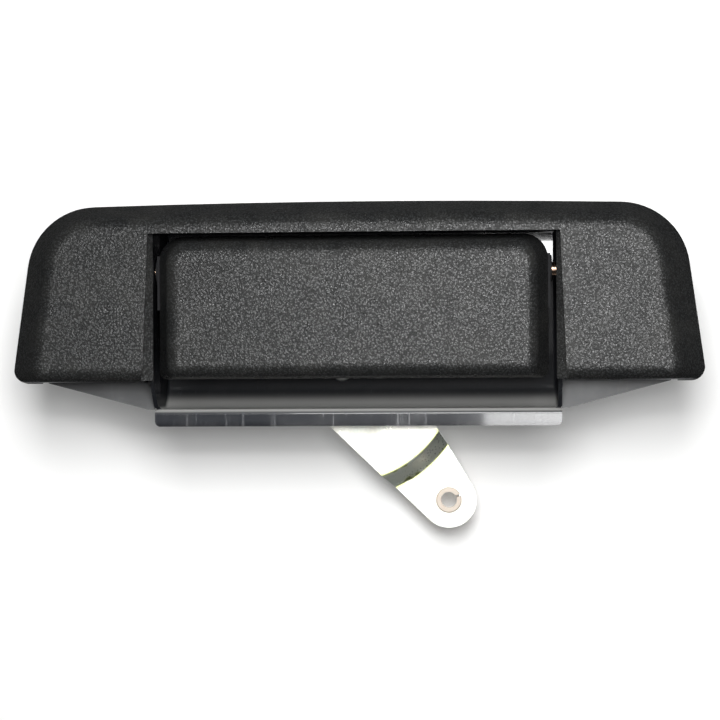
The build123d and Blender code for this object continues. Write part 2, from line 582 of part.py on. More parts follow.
def drive_tongue():
    """Strap from the paddle through the pan's window; its rounded tip pushes the drive pin."""
    x0, x1 = TONGUE_X - TONGUE_WIDTH / 2, TONGUE_X + TONGUE_WIDTH / 2
    tip_y, tip_z = PIN_Y + TONGUE_REACH, PIN_Z - TONGUE_TIP_DROP
    foot = box(x0, x1, CARRIER_BACK, CARRIER_BACK + TONGUE_SHEET, TONGUE_FOOT, STRAP_TOP)
    strap = box(x0, x1, CARRIER_BACK, tip_y, STRAP_BOTTOM, STRAP_TOP)
    tongue = foot + strap + rod(x0, x1, tip_y, tip_z, TONGUE_TIP_RADIUS)
    gusset = polygon([(CARRIER_BACK + TONGUE_SHEET, STRAP_BOTTOM - 5),
                      (CARRIER_BACK + TONGUE_SHEET + 6, STRAP_BOTTOM),
                      (CARRIER_BACK + TONGUE_SHEET, STRAP_BOTTOM)])
    tongue += side_slab(gusset, TONGUE_X - 1.2, TONGUE_X + 1.2)
    for x, z in TONGUE_RIVETS:
        tongue -= disc(x, z, TONGUE_RIVET_RADIUS, CARRIER_BACK - 1, CARRIER_BACK + TONGUE_SHEET + 1)
    return tongue


def tongue_rivets():
    back = CARRIER_BACK + TONGUE_SHEET
    rivets = []
    for x, z in TONGUE_RIVETS:
        rivet = disc(x, z, TONGUE_RIVET_RADIUS, PADDLE_REAR, back)
        head = disc(x, z, TONGUE_RIVET_RADIUS + 1.4, back, back + 1.4)
        tail = disc(x, z, TONGUE_RIVET_RADIUS + 1.0, PADDLE_REAR - 1.2, PADDLE_REAR)
        head = fillet(head.edges().sort_by(Axis.Y)[-1], 1.1)
        tail = fillet(tail.edges().sort_by(Axis.Y)[0], 0.9)
        rivets.append(rivet + head + tail)
    return Compound(rivets)


# ---- Bell crank -------------------------------------------------------------------------------
ROD_HOLES = [(CRANK_X + ROD_OFFSET_X, CRANK_Z - ROD_OFFSET_Z),
             (CRANK_X - ROD_OFFSET_X, CRANK_Z + ROD_OFFSET_Z)]


def crank():
    """Zigzag bell crank: flat hub, arms that step back on a circle round the pivot."""
    arms = [tapered_arm(CRANK_X, CRANK_Z, CRANK_HUB_RADIUS, x, z, CRANK_END_RADIUS)
            for x, z in ROD_HOLES]
    reach = hypot(ROD_OFFSET_X, ROD_OFFSET_Z) + CRANK_END_RADIUS + 5
    outer = JOGGLE_START + JOGGLE_RUN
    front, back, step = CRANK_FRONT, CRANK_BACK, JOGGLE_STEP
    half_section = polygon([
        (0, front), (JOGGLE_START, front), (outer, front + step), (reach, front + step),
        (reach, back + step), (outer - 0.6, back + step), (JOGGLE_START - 0.6, back), (0, back),
    ])
    bends = [v for v in half_section.vertices() if JOGGLE_START - 1 < v.X < outer + 1]
    half_section = fillet(bends, 1.6)
    turned = revolve(Plane.XY * half_section, Axis.Y)
    turned = Pos(CRANK_X, 0, CRANK_Z) * turned
    plate = turned & slab(arms[0] + arms[1], front - 5, back + step + 5)
    input_arm = tapered_arm(CRANK_X, CRANK_Z, INPUT_ROOT_RADIUS, INPUT_X, INPUT_Z,
                            INPUT_END_RADIUS)
    plate += slab(input_arm, front, back)
    plate -= disc(CRANK_X, CRANK_Z, PIVOT_RADIUS, front - 1, back + 1)
    plate -= disc(INPUT_X, INPUT_Z, DRIVE_PIN_RADIUS, front - 1, back + 1)
    for x, z in ROD_HOLES:
        plate -= disc(x, z, ROD_BUSH_BODY_RADIUS, front - 1, back + step + 1)
    return plate


def rod_bush(x, z, slit_angle):
    """Snap-in nylon bush for a latch rod, split on one side."""
    near, far = CRANK_FRONT + JOGGLE_STEP, CRANK_BACK + JOGGLE_STEP
    bush = disc(x, z, ROD_BUSH_BODY_RADIUS, near, far)
    front = disc(x, z, ROD_BUSH_FRONT_RADIUS, near - ROD_BUSH_FRONT, near)
    bush += chamfer(front.edges().sort_by(Axis.Y)[0], 0.4)
    rear = disc(x, z, ROD_BUSH_REAR_RADIUS, far, far + ROD_BUSH_REAR)
    bush += fillet(rear.edges().sort_by(Axis.Y)[-1], 0.5)
    bush -= disc(x, z, ROD_BORE_RADIUS, near - 5, far + 5)
    slit = box(0, 2 * ROD_BUSH_REAR_RADIUS, near - 5, far + 5, -ROD_BUSH_SLIT / 2, ROD_BUSH_SLIT / 2)
    return bush - Pos(x, 0, z) * Rot(0, -slit_angle, 0) * slit


def pivot_rivet():
    near = CRANK_FRONT - AXIAL_PLAY - WASHER_THICKNESS
    far = CRANK_BACK + AXIAL_PLAY
    rivet = disc(CRANK_X, CRANK_Z, PIVOT_RADIUS - RUNNING_CLEARANCE, near, far)
    rivet += disc(CRANK_X, CRANK_Z, PIVOT_NECK_RADIUS, near - SHEET, near)
    head = disc(CRANK_X, CRANK_Z, PIVOT_HEAD_RADIUS, far, far + PIVOT_HEAD)
    tail = disc(CRANK_X, CRANK_Z, PIVOT_TAIL_RADIUS, near - SHEET - PIVOT_TAIL, near - SHEET)
    rivet += fillet(head.edges().sort_by(Axis.Y)[-1], PIVOT_HEAD * 0.7)
    return rivet + fillet(tail.edges().sort_by(Axis.Y)[0], PIVOT_TAIL * 0.8)


def pivot_washer():
    return (disc(CRANK_X, CRANK_Z, PIVOT_HEAD_RADIUS, PAN_BACK, PAN_BACK + WASHER_THICKNESS)
            - disc(CRANK_X, CRANK_Z, PIVOT_RADIUS, PAN_BACK - 1, CRANK_BACK))


def drive_pin():
    far = CRANK_BACK + AXIAL_PLAY + DRIVE_SLEEVE_LENGTH + AXIAL_PLAY
    pin = disc(INPUT_X, INPUT_Z, DRIVE_PIN_RADIUS, CRANK_FRONT, far)
    front = disc(INPUT_X, INPUT_Z, DRIVE_PIN_HEAD_RADIUS, CRANK_FRONT - DRIVE_PIN_HEAD, CRANK_FRONT)
    rear = disc(INPUT_X, INPUT_Z, DRIVE_PIN_RADIUS + 1.1, far, far + 1.2)
    pin += fillet(front.edges().sort_by(Axis.Y)[0], 1.0)
    return pin + fillet(rear.edges().sort_by(Axis.Y)[-1], 0.8)


def drive_sleeve():
    near = CRANK_BACK + AXIAL_PLAY
    sleeve = disc(INPUT_X, INPUT_Z, DRIVE_SLEEVE_RADIUS, near, near + DRIVE_SLEEVE_LENGTH)
    sleeve = chamfer(sleeve.edges(), 0.4)
    return sleeve - disc(INPUT_X, INPUT_Z, DRIVE_PIN_RADIUS, near - 1, near + 20)


def tongue_bumper():
    """Rubber channel on the window's upper edge that the tongue rests against."""
    x0, x1 = TONGUE_X - BUMPER_LENGTH / 2, TONGUE_X + BUMPER_LENGTH / 2
    foot = STRAP_TOP + BUMPER_CLEARANCE
    block = box(x0, x1, PAN_DEPTH - BUMPER_WALL, PAN_BACK + BUMPER_WALL, foot, WINDOW_TOP + 3.0)
    block = fillet(block.edges().filter_by(Axis.X), 0.6)
    return block - box(x0 - 1, x1 + 1, PAN_DEPTH, PAN_BACK, WINDOW_TOP, WINDOW_TOP + 9)


# ---- Write ------------------------------------------------------------------------------------
def parts():
    right_wing = wing()
    yield "bezel", bezel()
    yield "bezel_gasket", gasket()
    yield "bezel_screws", bezel_screws()
    yield "frame_pan", pan()
    yield "wing_right", right_wing
    yield "wing_left", mirrored(right_wing)
    yield "mounting_studs", mounting_studs()
    yield "hinge_pin", hinge_pin()
    yield "hinge_pin_clip", pin_clip()
    yield "return_spring", return_spring()
    yield "tongue_bumper", tongue_bumper()
    yield "pivot_rivet", pivot_rivet()
    yield "pivot_washer", pivot_washer()
    yield "paddle_cover", paddle_cover()
    yield "paddle_carrier", paddle_carrier()
    yield "paddle_screws", paddle_screws()
    yield "ear_bush_left", ear_bush(PADDLE_LEFT, PADDLE_LEFT + CARRIER_SHEET, -1)
    yield "ear_bush_right", ear_bush(PADDLE_RIGHT - CARRIER_SHEET, PADDLE_RIGHT, 1)
    yield "drive_tongue", drive_tongue()
    yield "tongue_rivets", tongue_rivets()
    yield "bell_crank", crank()
    yield "rod_bush_lower", rod_bush(*ROD_HOLES[0], 25.0)
    yield "rod_bush_upper", rod_bush(*ROD_HOLES[1], 205.0)
    yield "drive_pin", drive_pin()
    yield "drive_sleeve", drive_sleeve()


def main():
    os.makedirs("parts", exist_ok=True)
    for name, shape in parts():
        export_step(shape, f"parts/{name}.step")


main()
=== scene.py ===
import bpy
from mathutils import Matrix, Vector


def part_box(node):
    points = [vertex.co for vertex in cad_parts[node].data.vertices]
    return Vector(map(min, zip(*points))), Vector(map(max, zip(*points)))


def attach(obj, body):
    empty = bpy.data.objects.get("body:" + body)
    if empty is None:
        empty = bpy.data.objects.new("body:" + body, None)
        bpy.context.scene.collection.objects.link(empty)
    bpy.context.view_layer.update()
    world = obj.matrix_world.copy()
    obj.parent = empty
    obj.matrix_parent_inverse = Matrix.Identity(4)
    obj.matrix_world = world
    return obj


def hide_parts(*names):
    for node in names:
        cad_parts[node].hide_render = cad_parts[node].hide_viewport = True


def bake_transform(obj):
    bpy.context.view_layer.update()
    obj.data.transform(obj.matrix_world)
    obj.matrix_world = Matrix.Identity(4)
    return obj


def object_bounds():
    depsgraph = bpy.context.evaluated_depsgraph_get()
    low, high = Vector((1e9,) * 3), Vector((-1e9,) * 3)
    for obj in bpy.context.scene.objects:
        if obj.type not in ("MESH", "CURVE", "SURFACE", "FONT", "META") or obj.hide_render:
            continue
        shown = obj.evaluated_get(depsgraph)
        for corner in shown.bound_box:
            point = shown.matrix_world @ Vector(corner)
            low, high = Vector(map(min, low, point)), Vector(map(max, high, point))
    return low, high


bl_info = {
    "name": "Lift-up Rear Door Handle",
    "version": (1, 0, 0),
    "blender": (4, 5, 0),
    "location": "View3D > Sidebar > Door Handle",
    "description": "Finishes, spring, stud threads and studio for a lift-up rear door handle",
    "category": "Object",
}

from math import pi, radians, sin, cos, tau

import bmesh
import bpy
from bpy.props import FloatProperty, FloatVectorProperty, IntProperty, PointerProperty
from bpy.types import Operator, Panel, PropertyGroup
from mathutils import Matrix, Vector

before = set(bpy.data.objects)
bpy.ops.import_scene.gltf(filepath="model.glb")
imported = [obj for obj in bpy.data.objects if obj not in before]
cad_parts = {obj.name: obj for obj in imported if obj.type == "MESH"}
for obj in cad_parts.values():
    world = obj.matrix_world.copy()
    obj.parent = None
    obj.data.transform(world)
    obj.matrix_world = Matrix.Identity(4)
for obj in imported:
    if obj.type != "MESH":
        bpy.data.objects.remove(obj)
CAD_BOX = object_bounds()
PIN_LOW, PIN_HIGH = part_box("hinge_pin")
SPRING_LOW, SPRING_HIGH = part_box("return_spring")
STUD_LOW, STUD_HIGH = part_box("mounting_studs")
PADDLE_LOW, PADDLE_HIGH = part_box("paddle_cover")
PAN_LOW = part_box("frame_pan")[0]
MM = 0.001

# The return spring
SPRING_TURNS = 3.25
SPRING_LEAN = radians(14.0)              # slope of the lower leg where it comes forward
SPRING_BEND = 3.0 * MM                   # radius of the bends at both ends of that slope
SPRING_STRAIGHT = 4.0 * MM               # straight wire just below the hinge pin's height
SPRING_SIDES = 16

# A mounting stud: radii, then places along Y
STUD_CROWN, STUD_HEAD, STUD_COLLAR = 3.9 * MM, 4.5 * MM, 3.5 * MM
STUD_NECK, STUD_CREST = 2.45 * MM, 3.0 * MM
STUD_SIDES = 48
STUD_ROUNDING = 0.35 * MM                # depth of the head's rounded edge
STUD_PLATE = -1.5 * MM                   # front face of the wing plate
THREAD_START = 0.6 * MM
THREAD_PLAIN = 1.4 * MM                  # length of shank that is left without a full turn
STUD_CHAMFER = (0.25 * MM, 0.35 * MM)    # length and depth of the chamfer at the tip

# The spot welds
WELD_HEIGHTS = (-0.022, -0.006, 0.020)
WELD_DEPTH = 0.0070                      # how far behind the skin they lie
WELD_LEG = 1.5 * MM                      # thickness of the weld legs
WELD_SINK = 0.0001                       # how far each weld's edge is sunk in the leg
WELD_SIDES = 28
WELD_RINGS = (                           # share of the radius, height out of the sheet
    (0.94, 0.00028), (0.80, 0.00034), (0.62, 0.00018), (0.25, 0.00012),
)

# Where the pan's paint changes: each pair is where a change begins and where it is complete
PAN_INSIDE = (0.001, 0.004)              # depth behind the skin
PAN_SHADE_HEIGHT = (0.019, 0.012)
PAN_SHADE_ACROSS = (0.052, 0.040)
PAN_BEND_FOOT = (-0.0404, -0.0390)
PAN_BEND_HEAD = (-0.030, -0.034)
# Height band of the up-facing floor that is lightened as painted light
PAN_FLOOR_LIGHT_HEIGHT = (-0.030, -0.036)

CRANK_BEND = (45.1 * MM, 5.0 * MM)       # radius and width of the step in the crank's arms

# The surroundings as light: a dim level all round, and more from behind the handle
WORLD_DIM, WORLD_BEHIND = 0.035, 0.9
WORLD_TURN = (0.88, 0.99)
SENSOR_WIDTH = 36.0                      # millimetres


# ---- Sizes and colours a user would change -----------------------------------------------------
def tint(name, description, colour):
    """A colour setting."""
    return FloatVectorProperty(name=name, description=description, subtype="COLOR", size=3,
                               min=0.0, max=1.0, default=colour)


def length(name, description, metres):
    """A length setting, in metres."""
    return FloatProperty(name=name, description=description, subtype="DISTANCE", unit="LENGTH",
                         min=0.0, precision=5, default=metres)


class HandleColours(PropertyGroup):
    moulding: tint("Moulding", "Black grained plastic of trim and paddle", (0.0105, 0.0108, 0.0108))
    moulding_high: tint("Moulding High Spots", "Tops of the moulded grain", (0.021, 0.022, 0.0225))
    pan_paint: tint("Pan Paint", "Gloss paint of the pressed pan", (0.012, 0.013, 0.016))
    # Painted reflection: the wings' grey stands in for light reflected by their black paint
    wing_reflection_grey: tint("Wing Coat", "Grey dip coat of the wings", (0.074, 0.076, 0.078))
    carrier_paint: tint("Carrier Paint", "Satin black of the paddle's carrier",
                        (0.012, 0.012, 0.013))
    zinc: tint("Zinc", "Bright zinc on studs, screws and rivets", (0.72, 0.73, 0.74))
    chromate: tint("Chromate", "Passivated zinc of the bell crank", (0.88, 0.88, 0.85))
    spring: tint("Spring Wire", "Oiled wire of the return spring", (0.52, 0.50, 0.38))
    pin: tint("Hinge Pin", "Copper wash of the hinge pin", (0.86, 0.58, 0.42))
    nylon: tint("Nylon", "Natural nylon of bushes and sleeve", (0.60, 0.53, 0.45))
    rubber: tint("Rubber", "Gasket and bumper", (0.016, 0.016, 0.017))
    backdrop: tint("Backdrop", "Pale sheet behind the handle", (0.74, 0.74, 0.735))


class HandleSizes(PropertyGroup):
    wire: length("Spring Wire", "Radius of the return spring's wire", 0.55 * MM)
    grain: length("Grain Pitch", "Spacing of the moulded grain", 0.78 * MM)
    thread_pitch: length("Thread Pitch", "Pitch of the stud threads", 1.0 * MM)
    thread_depth: length("Thread Depth", "Depth of the stud threads", 0.45 * MM)
    weld_radius: length("Weld Radius", "Radius of a spot weld's dimple", 2.2 * MM)
    spring_steps: IntProperty(name="Coil Steps", description="Steps round one turn of the spring",
                              default=40, min=12, max=96)


class HandleStage(PropertyGroup):
    distance: length("Camera Distance", "Camera to the middle of the handle", 0.85)
    azimuth: FloatProperty(name="Camera Azimuth", description="Turn of the camera to the right",
                           subtype="ANGLE", default=radians(4.0))
    roll: FloatProperty(name="Camera Roll", description="Roll of the camera about its own axis",
                        subtype="ANGLE", default=radians(0.35))
    lens: FloatProperty(name="Lens", description="Focal length in millimetres",
                        default=117.06, min=10.0)
    aim: FloatVectorProperty(name="Aim", description="Point looked at", subtype="TRANSLATION",
                             unit="LENGTH", size=3, default=(0.001, 0.0, -0.0204))
    backdrop_gap: length("Backdrop Gap", "Gap between the handle's back and the sheet", 0.002)
    backdrop_glow: FloatProperty(name="Backdrop Glow", description="Light of the sheet's own",
                                 default=0.13, min=0.0, max=2.0)
    key_power: FloatProperty(name="Key Power", description="Soft light from above the camera",
                             subtype="POWER", unit="POWER", default=8.0, min=0.0)
    card_glow: FloatProperty(name="Card Glow", default=12.0, min=0.0,
                             description="Brightness of the cards beside the camera")
    rear_power: FloatProperty(name="Rear Power", description="Light on the mechanism's side",
                              subtype="POWER", unit="POWER", default=14.0, min=0.0)


# ---- Node groups --------------------------------------------------------------------------------
def new_group(name, inputs, outputs):
    """A shader node group with named sockets: (name, kind, default) in, (name, kind) out."""
    group = bpy.data.node_groups.new(name, "ShaderNodeTree")
    kinds = {"value": "NodeSocketFloat", "colour": "NodeSocketColor", "vector": "NodeSocketVector"}
    for label, kind, default in inputs:
        socket = group.interface.new_socket(label, in_out="INPUT", socket_type=kinds[kind])
        if default is not None:
            socket.default_value = default
    for label, kind in outputs:
        group.interface.new_socket(label, in_out="OUTPUT", socket_type=kinds[kind])
    return group, group.nodes.new("NodeGroupInput"), group.nodes.new("NodeGroupOutput")


def add(tree, kind, links=(), **values):
    """Adds a node, sets its properties, and links or sets the inputs given as (input, value)."""
    node = tree.nodes.new(kind)
    for key, value in values.items():
        setattr(node, key, value)
    for key, value in links:
        if isinstance(value, bpy.types.NodeSocket):
            tree.links.new(value, node.inputs[key])
        else:
            node.inputs[key].default_value = value
    return node


def maths(tree, operation, a, b=None, clamp=False):
    """A Math node on sockets or numbers; returns its output."""
    links = [(0, a)] + ([(1, b)] if b is not None else [])
    return add(tree, "ShaderNodeMath", links, operation=operation, use_clamp=clamp).outputs[0]


def blend_colours(tree, factor, a, b, mode="MIX"):
    """Mixes colour b over colour a by factor; returns the mixed colour."""
    node = add(tree, "ShaderNodeMix", data_type="RGBA", blend_type=mode)
    for key, value in (("Factor", factor), (6, a), (7, b)):
        socket = node.inputs[key]
        if isinstance(value, bpy.types.NodeSocket):
            tree.links.new(value, socket)
        else:
            socket.default_value = value if isinstance(value, float) else (*value[:3], 1.0)
    return node.outputs[2]


def ramp(tree, value, low, high):
    """0 below low, 1 above high, smooth between."""
    node = add(tree, "ShaderNodeMapRange",
               [("Value", value), ("From Min", low), ("From Max", high)],
               interpolation_type="SMOOTHSTEP")
    return node.outputs["Result"]


def moulded_grain():
    """Fine pebbled grain pressed into a plastic moulding."""
    tree, ins, outs = new_group("Moulded Grain", [
        ("Coordinates", "vector", None), ("Scale", "value", 1050.0), ("Pore Depth", "value", 0.5),
    ], [("Height", "value"), ("High Spots", "value"), ("Mottle", "value"), ("Glints", "value")])
    warp = add(tree, "ShaderNodeTexNoise", [("Vector", ins.outputs["Coordinates"]),
                                            ("Scale", 420.0), ("Detail", 2.0)])
    shift = add(tree, "ShaderNodeVectorMath", [(0, warp.outputs["Color"]), (1, (0.5, 0.5, 0.5))],
                operation="SUBTRACT")
    small = add(tree, "ShaderNodeVectorMath", [(0, shift.outputs[0])], operation="SCALE")
    small.inputs["Scale"].default_value = 0.0011
    place = add(tree, "ShaderNodeVectorMath",
                [(0, ins.outputs["Coordinates"]), (1, small.outputs[0])], operation="ADD")
    pebble = add(tree, "ShaderNodeTexVoronoi", [("Vector", place.outputs[0]),
                                                ("Scale", ins.outputs["Scale"]),
                                                ("Smoothness", 0.6)],
                 feature="SMOOTH_F1")
    fine = add(tree, "ShaderNodeTexNoise", [("Vector", ins.outputs["Coordinates"]),
                                            ("Scale", 2600.0), ("Detail", 2.0)])
    tops = maths(tree, "SUBTRACT", 1.0, pebble.outputs["Distance"])
    pores = ramp(tree, fine.outputs["Fac"], 0.35, 0.62)
    cut = maths(tree, "MULTIPLY", maths(tree, "SUBTRACT", 1.0, pores), ins.outputs["Pore Depth"])
    height = maths(tree, "SUBTRACT", tops, cut)
    cloud = add(tree, "ShaderNodeTexNoise", [("Vector", ins.outputs["Coordinates"]),
                                             ("Scale", 95.0), ("Detail", 4.0), ("Roughness", 0.6)])
    tree.links.new(height, outs.inputs["Height"])
    tree.links.new(ramp(tree, tops, 0.35, 0.85), outs.inputs["High Spots"])
    tree.links.new(ramp(tree, cloud.outputs["Fac"], 0.35, 0.68), outs.inputs["Mottle"])
    tree.links.new(maths(tree, "MULTIPLY", ramp(tree, tops, 0.38, 0.82),
                         ramp(tree, fine.outputs["Fac"], 0.34, 0.62)), outs.inputs["Glints"])
    return tree


def handling_polish():
    """Mask of a rubbed patch: 1 at Centre, fading out over Reach, broken up by noise."""
    tree, ins, outs = new_group("Handling Polish", [
        ("Coordinates", "vector", None), ("Centre", "vector", None), ("Reach", "vector", (1, 1, 1)),
        ("Breakup", "value", 0.4),
    ], [("Mask", "value")])
    away = add(tree, "ShaderNodeVectorMath", [(0, ins.outputs["Coordinates"]),
                                              (1, ins.outputs["Centre"])], operation="SUBTRACT")
    scaled = add(tree, "ShaderNodeVectorMath", [(0, away.outputs[0]), (1, ins.outputs["Reach"])],
                 operation="DIVIDE")
    far = add(tree, "ShaderNodeVectorMath", [(0, scaled.outputs[0])], operation="LENGTH")
    patch = add(tree, "ShaderNodeTexNoise", [("Vector", ins.outputs["Coordinates"]),
                                             ("Scale", 160.0), ("Detail", 5.0),
                                             ("Roughness", 0.65)])
    inside = ramp(tree, far.outputs["Value"], 1.0, 0.25)
    broken = maths(tree, "MULTIPLY", patch.outputs["Fac"], ins.outputs["Breakup"])
    tree.links.new(maths(tree, "SUBTRACT", inside, broken, clamp=True), outs.inputs["Mask"])
    return tree


def edge_band():
    """Mask of a band along an edge, used for wear and for painted highlight and shade: strongest
    where one coordinate is near Level.
    """
    tree, ins, outs = new_group("Edge Band", [
        ("Coordinates", "vector", None), ("Axis", "vector", (0, 0, 1)), ("Level", "value", 0.0),
        ("Width", "value", 0.001), ("Breakup", "value", 0.5),
    ], [("Mask", "value")])
    along = add(tree, "ShaderNodeVectorMath",
                [(0, ins.outputs["Coordinates"]), (1, ins.outputs["Axis"])],
                operation="DOT_PRODUCT")
    off = maths(tree, "ABSOLUTE",
                maths(tree, "SUBTRACT", along.outputs["Value"], ins.outputs["Level"]))
    near = maths(tree, "SUBTRACT", 1.0, maths(tree, "DIVIDE", off, ins.outputs["Width"]),
                 clamp=True)
    band_breakup = add(tree, "ShaderNodeTexNoise", [("Vector", ins.outputs["Coordinates"]),
                                             ("Scale", 700.0), ("Detail", 6.0), ("Roughness", 0.7)])
    kept = maths(tree, "SUBTRACT", near, maths(tree, "MULTIPLY", band_breakup.outputs["Fac"],
                                               ins.outputs["Breakup"]), clamp=True)
    tree.links.new(ramp(tree, kept, 0.02, 0.5), outs.inputs["Mask"])
    return tree


def drawn_streaks():
    """Streaks left by drawing, rolling or wiping, long along one axis of Stretch."""
    tree, ins, outs = new_group("Drawn Streaks", [
        ("Coordinates", "vector", None), ("Stretch", "vector", (1400.0, 1400.0, 60.0)),
        ("Threshold", "value", 0.55),
    ], [("Height", "value"), ("Scratches", "value")])
    scaled = add(tree, "ShaderNodeVectorMath", [(0, ins.outputs["Coordinates"]),
                                                (1, ins.outputs["Stretch"])], operation="MULTIPLY")
    coarse = add(tree, "ShaderNodeTexNoise", [("Vector", scaled.outputs[0]), ("Scale", 1.0),
                                              ("Detail", 3.0), ("Roughness", 0.6)])
    fine = add(tree, "ShaderNodeTexNoise", [("Vector", scaled.outputs[0]), ("Scale", 3.1),
                                            ("Detail", 2.0)])
    mixed = maths(tree, "ADD", maths(tree, "MULTIPLY", coarse.outputs["Fac"], 0.7),
                  maths(tree, "MULTIPLY", fine.outputs["Fac"], 0.3))
    top = maths(tree, "ADD", ins.outputs["Threshold"], 0.10)
    tree.links.new(mixed, outs.inputs["Height"])
    tree.links.new(ramp(tree, mixed, ins.outputs["Threshold"], top), outs.inputs["Scratches"])
    return tree


def settled_dust():
    """Thin dust and finger film: soft clouds with a few specks."""
    tree, ins, outs = new_group("Settled Dust", [
        ("Coordinates", "vector", None), ("Amount", "value", 0.3),
    ], [("Film", "value"), ("Specks", "value")])
    cloud = add(tree, "ShaderNodeTexNoise", [("Vector", ins.outputs["Coordinates"]),
                                             ("Scale", 60.0), ("Detail", 5.0), ("Roughness", 0.62)])
    film = maths(tree, "MULTIPLY", ramp(tree, cloud.outputs["Fac"], 0.42, 0.72),
                 ins.outputs["Amount"])
    cells = add(tree, "ShaderNodeTexVoronoi", [("Vector", ins.outputs["Coordinates"]),
                                               ("Scale", 420.0)], feature="F1")
    speck = ramp(tree, cells.outputs["Distance"], 0.085, 0.03)
    rare = ramp(tree, add(tree, "ShaderNodeSeparateColor",
                          [("Color", cells.outputs["Color"])]).outputs[0], 0.80, 0.82)
    specks = maths(tree, "MULTIPLY", maths(tree, "MULTIPLY", speck, rare), ins.outputs["Amount"])
    tree.links.new(film, outs.inputs["Film"])
    tree.links.new(specks, outs.inputs["Specks"])
    return tree


def plated_bloom():
    """Zinc plating: small crystals, pale clouds, and the yellow, green and pink of passivation."""
    tree, ins, outs = new_group("Plated Bloom", [
        ("Coordinates", "vector", None), ("Metal", "colour", (0.7, 0.7, 0.7, 1.0)),
        ("Rainbow", "value", 0.3),
    ], [("Colour", "colour"), ("Crystals", "value")])
    cells = add(tree, "ShaderNodeTexVoronoi", [("Vector", ins.outputs["Coordinates"]),
                                               ("Scale", 900.0)], feature="F1")
    fine = add(tree, "ShaderNodeTexNoise", [("Vector", ins.outputs["Coordinates"]),
                                            ("Scale", 1500.0), ("Detail", 3.0)])
    crystal = maths(tree, "ADD", maths(tree, "MULTIPLY", cells.outputs["Distance"], 0.6),
                    maths(tree, "MULTIPLY", fine.outputs["Fac"], 0.4))
    cloud = add(tree, "ShaderNodeTexNoise", [("Vector", ins.outputs["Coordinates"]),
                                             ("Scale", 75.0), ("Detail", 4.0), ("Distortion", 0.8)])
    hues = add(tree, "ShaderNodeValToRGB", [("Fac", cloud.outputs["Fac"])])
    stops = hues.color_ramp.elements
    stops[0].position, stops[0].color = 0.30, (0.86, 0.70, 0.80, 1.0)
    stops[1].position, stops[1].color = 0.72, (0.70, 0.84, 0.88, 1.0)
    for place, colour in ((0.44, (0.97, 0.94, 0.62, 1.0)), (0.58, (0.74, 0.92, 0.66, 1.0))):
        stops.new(place).color = colour
    tinted = blend_colours(tree, ins.outputs["Rainbow"], ins.outputs["Metal"],
                           hues.outputs["Color"], "MULTIPLY")
    dull = blend_colours(tree, maths(tree, "MULTIPLY", crystal, 0.25), tinted, (0.35, 0.35, 0.34))
    tree.links.new(dull, outs.inputs["Colour"])
    tree.links.new(crystal, outs.inputs["Crystals"])
    return tree


def bend_ring():
    """Masks of a formed step on a circle round an axis along Y: its middle, where shade is painted,
    and fringes beside it.
    """
    tree, ins, outs = new_group("Bend Ring", [
        ("Coordinates", "vector", None), ("Centre", "vector", None), ("Radius", "value", 0.045),
        ("Width", "value", 0.004),
    ], [("Painted Shade Core", "value"), ("Fringe", "value")])
    away = add(tree, "ShaderNodeVectorMath", [(0, ins.outputs["Coordinates"]),
                                              (1, ins.outputs["Centre"])], operation="SUBTRACT")
    flat = add(tree, "ShaderNodeVectorMath", [(0, away.outputs[0]), (1, (1.0, 0.0, 1.0))],
               operation="MULTIPLY")
    far = add(tree, "ShaderNodeVectorMath", [(0, flat.outputs[0])], operation="LENGTH")
    waver = add(tree, "ShaderNodeTexNoise", [("Vector", ins.outputs["Coordinates"]),
                                             ("Scale", 260.0), ("Detail", 4.0)])
    off = maths(tree, "ABSOLUTE",
                maths(tree, "SUBTRACT", far.outputs["Value"], ins.outputs["Radius"]))
    share = maths(tree, "ADD", maths(tree, "DIVIDE", off, ins.outputs["Width"]),
                  maths(tree, "MULTIPLY", maths(tree, "SUBTRACT", waver.outputs["Fac"], 0.5), 0.9))
    shade_core = ramp(tree, share, 0.62, 0.42)
    wide = ramp(tree, share, 0.95, 0.60)
    tree.links.new(maths(tree, "MULTIPLY", shade_core, 0.40), outs.inputs["Painted Shade Core"])
    tree.links.new(maths(tree, "MULTIPLY", maths(tree, "SUBTRACT", wide, shade_core, clamp=True), 0.85),
                   outs.inputs["Fringe"])
    return tree


GROUPS = {}


def effect(tree, maker, coordinates, **values):
    """Places one of the shared groups in a material; an underscore in a name stands for a space."""
    if maker.__name__ not in GROUPS:
        GROUPS[maker.__name__] = maker()
    node = tree.nodes.new("ShaderNodeGroup")
    node.node_tree = GROUPS[maker.__name__]
    tree.links.new(coordinates, node.inputs["Coordinates"])
    for key, value in values.items():
        node.inputs[key.replace("_", " ")].default_value = value
    return node.outputs


# ---- Materials ----------------------------------------------------------------------------------
def new_material(name, **sockets):
    """A material with one Principled shader; sockets set its plain numbers."""
    material = bpy.data.materials.new(name)
    material.use_nodes = True
    tree = material.node_tree
    shader = tree.nodes["Principled BSDF"]
    for key, value in sockets.items():
        shader.inputs[key.replace("_", " ")].default_value = value
    coordinates = tree.nodes.new("ShaderNodeTexCoord").outputs["Object"]
    return material, tree, shader, coordinates


def bump(tree, shader, layers, socket="Normal"):
    """Stacks Bump nodes: each layer is (height, strength, distance)."""
    normal = None
    for height, strength, distance in layers:
        node = add(tree, "ShaderNodeBump", [("Height", height), ("Strength", strength),
                                            ("Distance", distance)])
        if normal is not None:
            tree.links.new(normal, node.inputs["Normal"])
        normal = node.outputs["Normal"]
    tree.links.new(normal, shader.inputs[socket])


